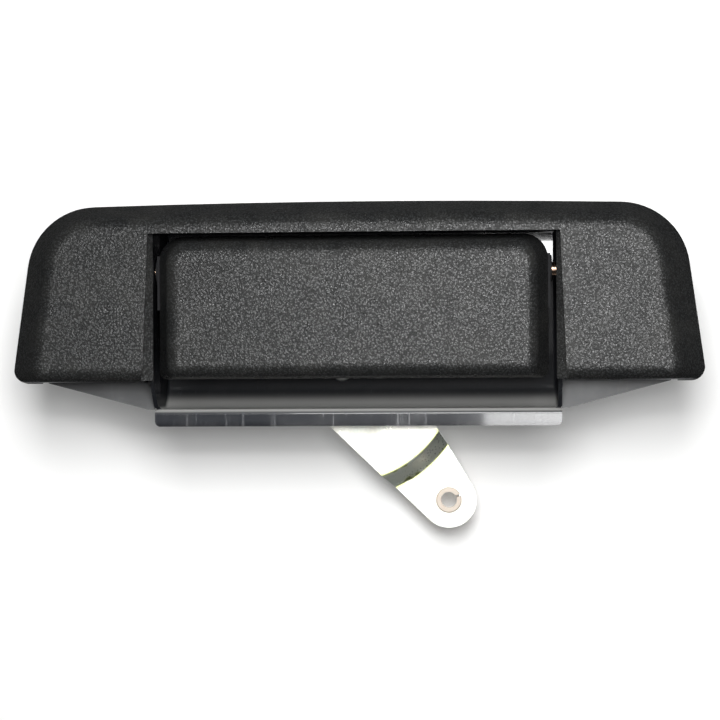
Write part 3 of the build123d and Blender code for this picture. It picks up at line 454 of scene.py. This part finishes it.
def grained_plastic(name, colours, sizes, rubs):
    """Black moulded plastic with pebbled grain; rubs are polished patches (centre, reach)."""
    material, tree, shader, place = new_material(name, IOR=1.62)
    grain = effect(tree, moulded_grain, place, Scale=1.0 / sizes.grain, Pore_Depth=0.5)
    dust = effect(tree, settled_dust, place, Amount=0.35)
    colour = blend_colours(tree, grain["High Spots"], colours.moulding, colours.moulding_high)
    colour = blend_colours(tree, maths(tree, "MULTIPLY", grain["Mottle"], 0.22), colour,
                           (0.026, 0.026, 0.024))
    colour = blend_colours(tree, maths(tree, "MULTIPLY", dust["Film"], 0.5), colour,
                           (0.050, 0.049, 0.045))
    colour = blend_colours(tree, dust["Specks"], colour, (0.22, 0.21, 0.19))
    rough = maths(tree, "ADD", 0.27, maths(tree, "MULTIPLY", grain["Mottle"], 0.07))
    flat = 1.0
    for centre, reach in rubs:
        polish = effect(tree, handling_polish, place, Centre=centre, Reach=reach, Breakup=0.5)
        rough = maths(tree, "SUBTRACT", rough, maths(tree, "MULTIPLY", polish["Mask"], 0.06))
        flat = maths(tree, "SUBTRACT", flat, maths(tree, "MULTIPLY", polish["Mask"], 0.30))
    glint = maths(tree, "ADD", maths(tree, "MULTIPLY", grain["Glints"], 0.80), 0.20)
    tree.links.new(colour, shader.inputs["Base Color"])
    tree.links.new(rough, shader.inputs["Roughness"])
    tree.links.new(glint, shader.inputs["Specular IOR Level"])
    bump(tree, shader, [(maths(tree, "MULTIPLY", grain["Height"], flat), 1.0, 0.00008),
                        (grain["Mottle"], 0.10, 0.0004)])
    return material


def gloss_paint(name, colours):
    """Gloss black over drawn sheet, with wiping streaks, a lip band that is partly rubbed wear and
    partly painted highlight, painted light on the floor and painted shade on the front edges.
    """
    material, tree, shader, place = new_material(name, IOR=1.5, Coat_Roughness=0.04,
                                                 Coat_IOR=1.6)
    streaks = effect(tree, drawn_streaks, place, Stretch=(900.0, 900.0, 35.0), Threshold=0.56)
    long_way = effect(tree, drawn_streaks, place, Stretch=(22.0, 700.0, 900.0), Threshold=0.60)
    dust = effect(tree, settled_dust, place, Amount=0.25)
    lip = effect(tree, edge_band, place, Axis=(0.0, 0.0, 1.0), Level=PAN_LOW.z + 0.0030,
                 Width=0.0036, Breakup=0.55)
    # Front edges of the pan, darkened and dulled as painted shade
    front = effect(tree, edge_band, place, Axis=(0.0, 1.0, 0.0), Level=PAN_LOW.y, Width=0.0008,
                   Breakup=0.3)
    colour = blend_colours(tree, maths(tree, "MULTIPLY", streaks["Scratches"], 0.11),
                           colours.pan_paint, (0.10, 0.11, 0.13))
    colour = blend_colours(tree, maths(tree, "MULTIPLY", long_way["Scratches"], 0.10), colour,
                           (0.08, 0.08, 0.09))
    # Painted highlight and wear: the lip band is lightened towards blue-grey, partly for rubbed
    # paint and partly for light reflected on the lip
    colour = blend_colours(tree, maths(tree, "MULTIPLY", lip["Mask"], 0.10), colour,
                           (0.13, 0.14, 0.16))
    # Painted shade: the pan's front edges are darkened to plain black
    colour = blend_colours(tree, maths(tree, "MULTIPLY", front["Mask"], 0.6), colour,
                           (0.012, 0.012, 0.012))
    colour = blend_colours(tree, dust["Film"], colour, (0.05, 0.05, 0.05))
    normal = tree.nodes.new("ShaderNodeNewGeometry").outputs["Normal"]
    facing = add(tree, "ShaderNodeSeparateXYZ", [("Vector", normal)]).outputs["Z"]
    spot = add(tree, "ShaderNodeSeparateXYZ", [("Vector", place)]).outputs
    across, depth, height = spot["X"], spot["Y"], spot["Z"]
    # Painted light: the up-facing floor near the lip is lightened towards pale grey, standing in
    # for light falling on it
    floor_painted_light = maths(tree, "MULTIPLY", ramp(tree, facing, 0.10, 0.85),
                    ramp(tree, height, *PAN_FLOOR_LIGHT_HEIGHT))
    colour = blend_colours(tree, maths(tree, "MULTIPLY", floor_painted_light, 0.75), colour, (0.34, 0.34, 0.33))
    rough = maths(tree, "ADD", 0.11, maths(tree, "MULTIPLY", streaks["Scratches"], 0.16))
    rough = maths(tree, "ADD", rough, maths(tree, "MULTIPLY", dust["Film"], 0.25))
    shaded = maths(tree, "MAXIMUM", ramp(tree, height, *PAN_SHADE_HEIGHT),
                   ramp(tree, across, *PAN_SHADE_ACROSS))
    bend = maths(tree, "MULTIPLY", ramp(tree, height, *PAN_BEND_FOOT),
                 ramp(tree, height, *PAN_BEND_HEAD))
    dull = maths(tree, "MULTIPLY", ramp(tree, depth, *PAN_INSIDE), shaded)
    dull = maths(tree, "MAXIMUM", maths(tree, "MAXIMUM", dull, bend), front["Mask"])
    rough = maths(tree, "ADD", rough, maths(tree, "MULTIPLY", dull, 0.30))
    coat = maths(tree, "SUBTRACT", 0.95, maths(tree, "MULTIPLY", dull, 0.93), clamp=True)
    tree.links.new(maths(tree, "SUBTRACT", 1.0, maths(tree, "MULTIPLY", dull, 0.85)),
                   shader.inputs["Specular IOR Level"])
    tree.links.new(colour, shader.inputs["Base Color"])
    tree.links.new(rough, shader.inputs["Roughness"])
    tree.links.new(coat, shader.inputs["Coat Weight"])
    bump(tree, shader, [(streaks["Height"], 0.10, 0.00006), (long_way["Height"], 0.06, 0.00005)])
    return material


def dip_coat(name, paint, run_colour, gloss, specular=0.5):
    """Satin dip coat with faint runs, dust and a fine orange peel."""
    material, tree, shader, place = new_material(name, Specular_IOR_Level=specular, IOR=1.5)
    runs = effect(tree, drawn_streaks, place, Stretch=(240.0, 240.0, 26.0), Threshold=0.55)
    dust = effect(tree, settled_dust, place, Amount=0.5)
    plate = effect(tree, plated_bloom, place, Rainbow=0.0)
    colour = blend_colours(tree, maths(tree, "MULTIPLY", runs["Scratches"], 0.25),
                           paint, run_colour)
    colour = blend_colours(tree, dust["Film"], colour, run_colour)
    colour = blend_colours(tree, dust["Specks"], colour, (0.34, 0.34, 0.32))
    rough = maths(tree, "ADD", gloss, maths(tree, "MULTIPLY", runs["Height"], 0.16))
    tree.links.new(colour, shader.inputs["Base Color"])
    tree.links.new(rough, shader.inputs["Roughness"])
    bump(tree, shader, [(runs["Height"], 0.12, 0.0001), (plate["Crystals"], 0.10, 0.00004)])
    return material


def plated_metal(name, metal, rough, rainbow, stretch, scratch=0.3, bend=None):
    """Plated steel: bloom, brushing streaks and scratches; bend is a ring (centre, radius, width)
    where the plating has turned yellow-green, with a darker middle painted as the step's dark
    reflection."""
    material, tree, shader, place = new_material(name, Metallic=1.0)
    bloom = effect(tree, plated_bloom, place, Metal=(*metal, 1.0), Rainbow=rainbow)
    streaks = effect(tree, drawn_streaks, place, Stretch=stretch, Threshold=0.60)
    dust = effect(tree, settled_dust, place, Amount=0.3)
    colour = blend_colours(tree, maths(tree, "MULTIPLY", streaks["Scratches"], scratch),
                           bloom["Colour"], (0.62, 0.62, 0.60))
    if bend:
        ring = effect(tree, bend_ring, place, Centre=bend[0], Radius=bend[1], Width=bend[2])
        colour = blend_colours(tree, ring["Fringe"], colour, (0.80, 0.86, 0.36))
        # Painted shade: the middle of the step is darkened and made less metallic, standing in for
        # its dark reflection
        colour = blend_colours(tree, ring["Painted Shade Core"], colour, (0.20, 0.26, 0.21))
        tree.links.new(maths(tree, "SUBTRACT", 1.0, maths(tree, "MULTIPLY", ring["Painted Shade Core"], 0.9)),
                       shader.inputs["Metallic"])
    colour = blend_colours(tree, dust["Specks"], colour, (0.20, 0.19, 0.17))
    level = maths(tree, "ADD", rough, maths(tree, "MULTIPLY", bloom["Crystals"], 0.14))
    level = maths(tree, "ADD", level, maths(tree, "MULTIPLY", dust["Film"], 0.4))
    tree.links.new(colour, shader.inputs["Base Color"])
    tree.links.new(level, shader.inputs["Roughness"])
    bump(tree, shader, [(streaks["Height"], 0.20, 0.00005), (bloom["Crystals"], 0.15, 0.00004)])
    return material


def natural_nylon(name, colours):
    """Cream nylon: a little light goes through it, with faint moulding flow."""
    material, tree, shader, place = new_material(
        name, Specular_IOR_Level=0.5, IOR=1.53, Subsurface_Weight=0.35, Subsurface_Scale=0.0015,
        Subsurface_Radius=(1.0, 0.75, 0.6))
    flow = effect(tree, drawn_streaks, place, Stretch=(500.0, 160.0, 500.0), Threshold=0.58)
    dust = effect(tree, settled_dust, place, Amount=0.5)
    colour = blend_colours(tree, maths(tree, "MULTIPLY", flow["Scratches"], 0.3), colours.nylon,
                           (0.62, 0.50, 0.42))
    colour = blend_colours(tree, dust["Film"], colour, (0.50, 0.42, 0.36))
    tree.links.new(colour, shader.inputs["Base Color"])
    tree.links.new(maths(tree, "ADD", 0.34, maths(tree, "MULTIPLY", flow["Height"], 0.2)),
                   shader.inputs["Roughness"])
    bump(tree, shader, [(flow["Height"], 0.15, 0.00008)])
    return material


def soft_rubber(name, colours):
    """Matt black rubber with bloom and a talc haze."""
    material, tree, shader, place = new_material(name, Specular_IOR_Level=0.35, IOR=1.5,
                                                 Sheen_Weight=0.15, Sheen_Roughness=0.6)
    grain = effect(tree, moulded_grain, place, Scale=2400.0, Pore_Depth=0.3)
    dust = effect(tree, settled_dust, place, Amount=0.6)
    colour = blend_colours(tree, dust["Film"], colours.rubber, (0.07, 0.07, 0.07))
    colour = blend_colours(tree, dust["Specks"], colour, (0.25, 0.25, 0.24))
    tree.links.new(colour, shader.inputs["Base Color"])
    tree.links.new(maths(tree, "ADD", 0.62, maths(tree, "MULTIPLY", grain["Mottle"], 0.15)),
                   shader.inputs["Roughness"])
    bump(tree, shader, [(grain["Height"], 0.25, 0.0001)])
    return material


def finish_nodes(names, material):
    """Gives CAD nodes a material."""
    for name in names:
        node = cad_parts[name]
        if not node.material_slots:
            node.data.materials.append(material)
        for place in node.material_slots:
            place.material = material


MATERIALS = {}


# ---- Modelling ----------------------------------------------------------------------------------
def finished(name, bm, material, smooth=True):
    """Writes a bmesh to an object at the origin and gives it its material."""
    mesh = bpy.data.meshes.new(name)
    bm.to_mesh(mesh)
    bm.free()
    for face in mesh.polygons:
        face.use_smooth = smooth
    mesh.materials.append(material)
    piece = bpy.data.objects.new(name, mesh)
    bpy.context.scene.collection.objects.link(piece)
    return piece


def ring_of(bm, centre, radius, axis, segments):
    """A filled disc of vertices round axis, returned as its one face."""
    turn = Vector((0, 0, 1)).rotation_difference(Vector(axis)).to_matrix().to_4x4()
    made = bmesh.ops.create_circle(bm, cap_ends=True, segments=segments, radius=radius,
                                   matrix=Matrix.Translation(centre) @ turn)
    return made["verts"][0].link_faces[0]


def spin_face(bm, face, centre, axis, angle, steps, shift=(0, 0, 0)):
    """Sweeps a face round an axis, sliding by shift at each step, and returns the end face."""
    geometry = [face, *face.edges, *face.verts]
    made = bmesh.ops.spin(bm, geom=geometry, cent=centre, axis=axis, dvec=shift, angle=angle,
                          steps=steps, use_duplicate=False)
    return [g for g in made["geom_last"] if isinstance(g, bmesh.types.BMFace)][0]


def draw_face(bm, face, move, steps=1):
    """Extends a face straight on and returns its new end."""
    for _ in range(steps):
        made = bmesh.ops.extrude_discrete_faces(bm, faces=[face])
        face = made["faces"][0]
        bmesh.ops.translate(bm, verts=face.verts, vec=Vector(move) / steps)
    return face


def close_ends(bm):
    """Puts a face over each open end and turns all faces outward."""
    rims = [edge for edge in bm.edges if edge.is_boundary]
    bmesh.ops.holes_fill(bm, edges=rims, sides=0)
    bmesh.ops.recalc_face_normals(bm, faces=bm.faces)


def coil_spring(sizes):
    """The torsion spring: a lower leg in front of the carrier, turns round the pin, and an upper
    leg into the pan's back wall."""
    wire = sizes.wire
    pin_y, pin_z = (PIN_LOW.y + PIN_HIGH.y) / 2, (PIN_LOW.z + PIN_HIGH.z) / 2
    inner, outer = SPRING_LOW.x + wire, SPRING_HIGH.x - wire
    radius = SPRING_HIGH.z - wire - pin_z
    rest, front = SPRING_LOW.y + wire, pin_y - radius
    lean, bend = SPRING_LEAN, SPRING_BEND
    slant = (front - rest - 2 * bend * (1 - cos(lean))) / sin(lean)
    rise = 2 * bend * sin(lean) + slant * cos(lean)
    start = pin_z - SPRING_STRAIGHT - rise
    bm = bmesh.new()
    face = ring_of(bm, Vector((inner, rest, SPRING_LOW.z)), wire, (0, 0, -1), SPRING_SIDES)
    face = draw_face(bm, face, (0, 0, start - SPRING_LOW.z), 4)
    face = spin_face(bm, face, (inner, rest + bend, start), (-1, 0, 0), lean, 4)
    face = draw_face(bm, face, (0, slant * sin(lean), slant * cos(lean)), 2)
    middle = face.calc_center_median()
    centre = middle + bend * Vector((0, -cos(lean), sin(lean)))
    face = spin_face(bm, face, centre, (1, 0, 0), lean, 4)
    face = draw_face(bm, face, (0, 0, pin_z - face.calc_center_median().z), 4)
    steps = int(sizes.spring_steps * SPRING_TURNS)
    face = spin_face(bm, face, (inner, pin_y, pin_z), (-1, 0, 0), tau * SPRING_TURNS, steps,
                     ((outer - inner) / steps, 0, 0))
    draw_face(bm, face, (0, SPRING_HIGH.y - pin_y, 0), 10)
    bmesh.ops.remove_doubles(bm, verts=bm.verts, dist=1e-6)
    close_ends(bm)
    return bm, inner + wire, outer - wire


def resize_face(bm, face, radius):
    """Gives a round face a new radius about its middle, and returns where the middle was."""
    middle = face.calc_center_median()
    now = (face.verts[0].co - middle).length
    bmesh.ops.scale(bm, vec=Vector((radius / now,) * 3), verts=face.verts,
                    space=Matrix.Translation(-middle))
    return middle


def lathe_step(bm, face, x, z, y, radius):
    """Extends a round face to depth y with a new radius."""
    face = draw_face(bm, face, (0, 0, 0))
    resize_face(bm, face, radius)
    bmesh.ops.translate(bm, verts=face.verts, vec=Vector((x, y, z)) - face.calc_center_median())
    return face


def threaded_stud(bm, x, z, sizes):
    """One stud: rounded head in front of the plate, collar in it, threaded shank behind it."""
    front, tip = STUD_LOW.y, STUD_HIGH.y
    pitch, root = sizes.thread_pitch, STUD_CREST - sizes.thread_depth
    profile = [(front + STUD_ROUNDING, STUD_HEAD), (STUD_PLATE, STUD_HEAD),
               (STUD_PLATE, STUD_COLLAR), (0.0, STUD_COLLAR), (0.0, STUD_NECK),
               (THREAD_START, STUD_NECK)]
    for turn in range(int((tip - THREAD_PLAIN) / pitch)):
        base = THREAD_START + turn * pitch
        profile += [(base + share * pitch, radius) for share, radius in
                    ((0.36, STUD_CREST), (0.56, STUD_CREST), (0.92, root), (1.0, root))]
    length_cut, depth_cut = STUD_CHAMFER
    profile += [(tip - length_cut, root), (tip, root - depth_cut)]
    face = ring_of(bm, Vector((x, front, z)), STUD_CROWN, (0, -1, 0), STUD_SIDES)
    for y, radius in profile:
        face = lathe_step(bm, face, x, z, y, radius)


def weld_dimples(radius):
    """Spot welds down both weld legs, pressed dimples with a raised rim."""
    bm = bmesh.new()
    for side in (-1, 1):
        low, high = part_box("wing_right" if side > 0 else "wing_left")
        face_x = side * (abs(low.x if side > 0 else high.x) + WELD_LEG)
        for z in WELD_HEIGHTS:
            centre = Vector((face_x - side * WELD_SINK, WELD_DEPTH, z))
            face = ring_of(bm, centre, radius, (side, 0, 0), WELD_SIDES)
            for grow, out in WELD_RINGS:
                face = draw_face(bm, face, (0, 0, 0))
                middle = resize_face(bm, face, radius * grow)
                level = face_x - side * WELD_SINK + side * out
                bmesh.ops.translate(bm, verts=face.verts, vec=(level - middle.x, 0, 0))
    return bm


# ---- Operators ----------------------------------------------------------------------------------
class HANDLE_OT_mouldings(Operator):
    """Give the trim and the paddle their grained black plastic"""
    bl_idname = "handle.mouldings"
    bl_label = "Trim and Paddle"

    def execute(self, context):
        colours, sizes = context.scene.handle_colours, context.scene.handle_sizes
        middle = (PADDLE_LOW + PADDLE_HIGH) / 2
        trim = grained_plastic("trim_plastic", colours, sizes, [])
        paddle = grained_plastic("paddle_plastic", colours, sizes, [
            (Vector((middle.x + 0.012, PADDLE_LOW.y, PADDLE_LOW.z)), Vector((0.05, 0.02, 0.010))),
        ])
        finish_nodes(["bezel"], trim)
        finish_nodes(["paddle_cover"], paddle)
        return {"FINISHED"}


class HANDLE_OT_pressings(Operator):
    """Paint the pan, and dip-coat the wings and the paddle's carrier; the wings' grey is a painted
    reflection on black paint
    """
    bl_idname = "handle.pressings"
    bl_label = "Pan, Wings and Carrier"

    def execute(self, context):
        colours = context.scene.handle_colours
        finish_nodes(["frame_pan"], gloss_paint("pan_gloss_black", colours))
        # Painted reflection: grey base on the wings in place of light reflected by black paint
        finish_nodes(["wing_left", "wing_right"],
                     dip_coat("wing_reflection_grey_coat", colours.wing_reflection_grey, (0.13, 0.133, 0.137), 0.36))
        finish_nodes(["paddle_carrier"],
                     dip_coat("satin_black_coat", colours.carrier_paint, (0.020, 0.020, 0.022),
                              0.50, specular=0.12))
        return {"FINISHED"}


class HANDLE_OT_mechanism(Operator):
    """Plate the crank, tongue, rivets, pins and screws, and finish the nylon and rubber"""
    bl_idname = "handle.mechanism"
    bl_label = "Crank, Pins and Bushes"

    def execute(self, context):
        colours = context.scene.handle_colours
        axle = (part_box("pivot_rivet")[0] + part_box("pivot_rivet")[1]) / 2
        chromate = plated_metal("chromated_zinc", colours.chromate, 0.22, 0.22,
                                (900.0, 900.0, 60.0), 0.10, bend=(axle, *CRANK_BEND))
        zinc = plated_metal("bright_zinc", colours.zinc, 0.24, 0.12, (1400.0, 300.0, 1400.0), 0.25)
        steel = plated_metal("copper_washed_steel", colours.pin, 0.16, 0.10,
                             (60.0, 1500.0, 1500.0), 0.25)
        clip = plated_metal("clip_steel", (0.22, 0.22, 0.23), 0.30, 0.05,
                            (900.0, 900.0, 900.0), 0.15)
        finish_nodes(["bell_crank"], chromate)
        finish_nodes(["drive_tongue", "tongue_rivets", "pivot_rivet", "drive_pin", "bezel_screws",
                      "paddle_screws"], zinc)
        finish_nodes(["hinge_pin"], steel)
        finish_nodes(["hinge_pin_clip"], clip)
        finish_nodes(["rod_bush_lower", "rod_bush_upper", "drive_sleeve", "pivot_washer"],
                     natural_nylon("natural_nylon", colours))
        finish_nodes(["ear_bush_left", "ear_bush_right"],
                     dip_coat("black_acetal", colours.carrier_paint, (0.022, 0.022, 0.022), 0.45,
                              specular=0.15))
        finish_nodes(["bezel_gasket", "tongue_bumper"], soft_rubber("black_rubber", colours))
        MATERIALS["zinc"] = zinc
        return {"FINISHED"}


class HANDLE_OT_spring(Operator):
    """Wind the return spring, one leg held by the pan and the other by the paddle"""
    bl_idname = "handle.spring"
    bl_label = "Return Spring"

    def execute(self, context):
        colours, sizes = context.scene.handle_colours, context.scene.handle_sizes
        wire = plated_metal("oiled_spring_wire", colours.spring, 0.22, 0.30,
                            (400.0, 400.0, 400.0), 0.2)
        bm, inner, outer = coil_spring(sizes)
        piece = finished("return_spring_wound", bm, wire)
        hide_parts("return_spring")
        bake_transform(piece)
        return {"FINISHED"}


class HANDLE_OT_studs(Operator):
    """Cut the threads on the four mounting studs"""
    bl_idname = "handle.studs"
    bl_label = "Threaded Studs"

    def execute(self, context):
        sizes = context.scene.handle_sizes
        bm = bmesh.new()
        for x in (STUD_LOW.x + STUD_HEAD, STUD_HIGH.x - STUD_HEAD):
            for z in (STUD_LOW.z + STUD_HEAD, STUD_HIGH.z - STUD_HEAD):
                threaded_stud(bm, x, z, sizes)
        close_ends(bm)
        piece = finished("mounting_studs_threaded", bm, MATERIALS["zinc"], smooth=False)
        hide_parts("mounting_studs")
        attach(piece, "frame")
        return {"FINISHED"}


class HANDLE_OT_welds(Operator):
    """Press the spot welds that join the wings to the pan"""
    bl_idname = "handle.welds"
    bl_label = "Spot Welds"

    def execute(self, context):
        sizes = context.scene.handle_sizes
        bm = weld_dimples(sizes.weld_radius)
        close_ends(bm)
        piece = finished("wing_spot_welds", bm, bpy.data.materials["wing_reflection_grey_coat"])
        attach(piece, "frame")
        return {"FINISHED"}


def area_light(name, place, target, width, height, power):
    """A white rectangular light at place, turned towards target."""
    data = bpy.data.lights.new(name, "AREA")
    data.shape = "RECTANGLE"
    data.size, data.size_y = width, height
    data.energy = power
    lamp = bpy.data.objects.new(name, data)
    bpy.context.scene.collection.objects.link(lamp)
    lamp.location = place
    lamp.rotation_mode = "QUATERNION"
    lamp.rotation_quaternion = (Vector(target) - Vector(place)).to_track_quat("-Z", "Y")
    return lamp


# Pale cards beside the camera, which the gloss reflects
CARD_Y = -0.65
CARDS = (                                # name, x from, x to, z from, z to, brightness
    ("card_faces", -0.09, 0.30, -0.016, 0.140, 1.0),
    ("card_low", -0.08, 0.40, -0.270, -0.080, 0.14),
    ("card_lip", 0.035, 0.30, -0.064, -0.048, 0.6),
    ("card_left", -0.42, -0.22, -0.040, 0.160, 0.010),
)


class HANDLE_OT_stage(Operator):
    """Set up the pale backdrop, the studio lights and the camera"""
    bl_idname = "handle.stage"
    bl_label = "Studio"

    def execute(self, context):
        scene, stage = context.scene, context.scene.handle_stage
        colours = scene.handle_colours
        self.backdrop(colours, stage, CAD_BOX[1].y + stage.backdrop_gap)
        key = area_light("key_light", (0.03, -0.74, 0.30), (0, 0, -0.03), 0.36, 0.36,
                         stage.key_power)
        high = area_light("rear_light_high", (0.30, 1.00, 0.40), (0, 0, 0), 0.5, 0.4,
                          stage.rear_power)
        low = area_light("rear_light_low", (-0.45, 0.95, -0.10), (0, 0, 0), 0.4, 0.5,
                         stage.rear_power * 0.5)
        for lamp in (key, high, low):
            lamp.visible_glossy = False
        for name, x0, x1, z0, z1, glow in CARDS:
            x, z, wide, tall = (x0 + x1) / 2, (z0 + z1) / 2, x1 - x0, z1 - z0
            area_light(name, (x, CARD_Y, z), (x, 0, z), wide, tall,
                       stage.card_glow * glow * pi * wide * tall)
        self.world(scene)
        self.camera(scene, stage)
        return {"FINISHED"}

    def backdrop(self, colours, stage, depth):
        """A sheet that shows from the front only, and lets light through from behind."""
        bm = bmesh.new()
        turn = Matrix.Rotation(pi / 2, 4, "X")
        bmesh.ops.create_grid(bm, x_segments=2, y_segments=2, size=2.0,
                              matrix=Matrix.Translation((0, depth, 0)) @ turn)
        material = bpy.data.materials.new("pale_backdrop")
        material.use_nodes = True
        tree = material.node_tree
        shader = tree.nodes["Principled BSDF"]
        shader.inputs["Base Color"].default_value = (*colours.backdrop, 1.0)
        shader.inputs["Roughness"].default_value = 0.9
        shader.inputs["Specular IOR Level"].default_value = 0.1
        shader.inputs["Emission Color"].default_value = (1.0, 1.0, 0.985, 1.0)
        shader.inputs["Emission Strength"].default_value = stage.backdrop_glow
        back = tree.nodes.new("ShaderNodeNewGeometry").outputs["Backfacing"]
        clear = tree.nodes.new("ShaderNodeBsdfTransparent")
        mix = add(tree, "ShaderNodeMixShader", [(0, back), (1, shader.outputs[0]),
                                                (2, clear.outputs[0])])
        tree.links.new(mix.outputs[0], tree.nodes["Material Output"].inputs["Surface"])
        sheet = finished("backdrop", bm, material)
        sheet.visible_shadow = False
        sheet.visible_glossy = False

    def world(self, scene):
        """Pale to the eye, dimmer as light, so that flanks stay dark."""
        world = bpy.data.worlds.new("studio")
        scene.world = world
        world.use_nodes = True
        tree = world.node_tree
        tree.nodes.clear()
        seen = add(tree, "ShaderNodeBackground", [("Color", (0.93, 0.93, 0.92, 1.0)),
                                                  ("Strength", 1.0)])
        place = tree.nodes.new("ShaderNodeTexCoord").outputs["Generated"]
        inward = add(tree, "ShaderNodeSeparateXYZ", [("Vector", place)]).outputs["Y"]
        behind = maths(tree, "MULTIPLY", ramp(tree, inward, *WORLD_TURN), WORLD_BEHIND)
        strength = maths(tree, "ADD", behind, WORLD_DIM)
        lit = add(tree, "ShaderNodeBackground", [("Color", (0.95, 0.97, 1.0, 1.0)),
                                                 ("Strength", strength)])
        eye = tree.nodes.new("ShaderNodeLightPath").outputs["Is Camera Ray"]
        mix = add(tree, "ShaderNodeMixShader", [(0, eye), (1, lit.outputs[0]),
                                                (2, seen.outputs[0])])
        out = tree.nodes.new("ShaderNodeOutputWorld")
        tree.links.new(mix.outputs[0], out.inputs["Surface"])

    def camera(self, scene, stage):
        """A long lens, almost level and a little to the right."""
        data = bpy.data.cameras.new("camera")
        data.lens, data.sensor_width = stage.lens, SENSOR_WIDTH
        data.clip_start, data.clip_end = 0.01, 20.0
        eye = bpy.data.objects.new("camera", data)
        scene.collection.objects.link(eye)
        target = Vector(stage.aim)
        away = Vector((sin(stage.azimuth), -cos(stage.azimuth), 0))
        eye.location = target + stage.distance * away
        eye.rotation_mode = "QUATERNION"
        look = (target - eye.location).to_track_quat("-Z", "Y")
        eye.rotation_quaternion = look @ Matrix.Rotation(-stage.roll, 4, "Z").to_quaternion()
        scene.camera = eye
        scene.view_settings.view_transform = "Standard"
        scene.view_settings.look = "None"


class HANDLE_PT_panel(Panel):
    """Lists the handle's steps, in order"""
    bl_label = "Door Handle"
    bl_idname = "HANDLE_PT_panel"
    bl_space_type = "VIEW_3D"
    bl_region_type = "UI"
    bl_category = "Door Handle"

    def draw(self, context):
        layout = self.layout
        for group in ("handle_colours", "handle_sizes", "handle_stage"):
            settings = getattr(context.scene, group)
            box = layout.box()
            for key in settings.bl_rna.properties.keys():
                if key not in {"rna_type", "name"}:
                    box.prop(settings, key)
        for operator in OPERATORS:
            layout.operator(operator.bl_idname)


OPERATORS = (HANDLE_OT_mouldings, HANDLE_OT_pressings, HANDLE_OT_mechanism, HANDLE_OT_spring,
             HANDLE_OT_studs, HANDLE_OT_welds, HANDLE_OT_stage)
CLASSES = (HandleColours, HandleSizes, HandleStage, *OPERATORS, HANDLE_PT_panel)


def register():
    for item in CLASSES:
        bpy.utils.register_class(item)
    bpy.types.Scene.handle_colours = PointerProperty(type=HandleColours)
    bpy.types.Scene.handle_sizes = PointerProperty(type=HandleSizes)
    bpy.types.Scene.handle_stage = PointerProperty(type=HandleStage)


def unregister():
    for name in ("handle_stage", "handle_sizes", "handle_colours"):
        delattr(bpy.types.Scene, name)
    for item in reversed(CLASSES):
        bpy.utils.unregister_class(item)


def main():
    register()
    bpy.ops.handle.mouldings()
    bpy.ops.handle.pressings()
    bpy.ops.handle.mechanism()
    bpy.ops.handle.spring()
    bpy.ops.handle.studs()
    bpy.ops.handle.welds()
    bpy.ops.handle.stage()


if __name__ == "__main__":
    main()
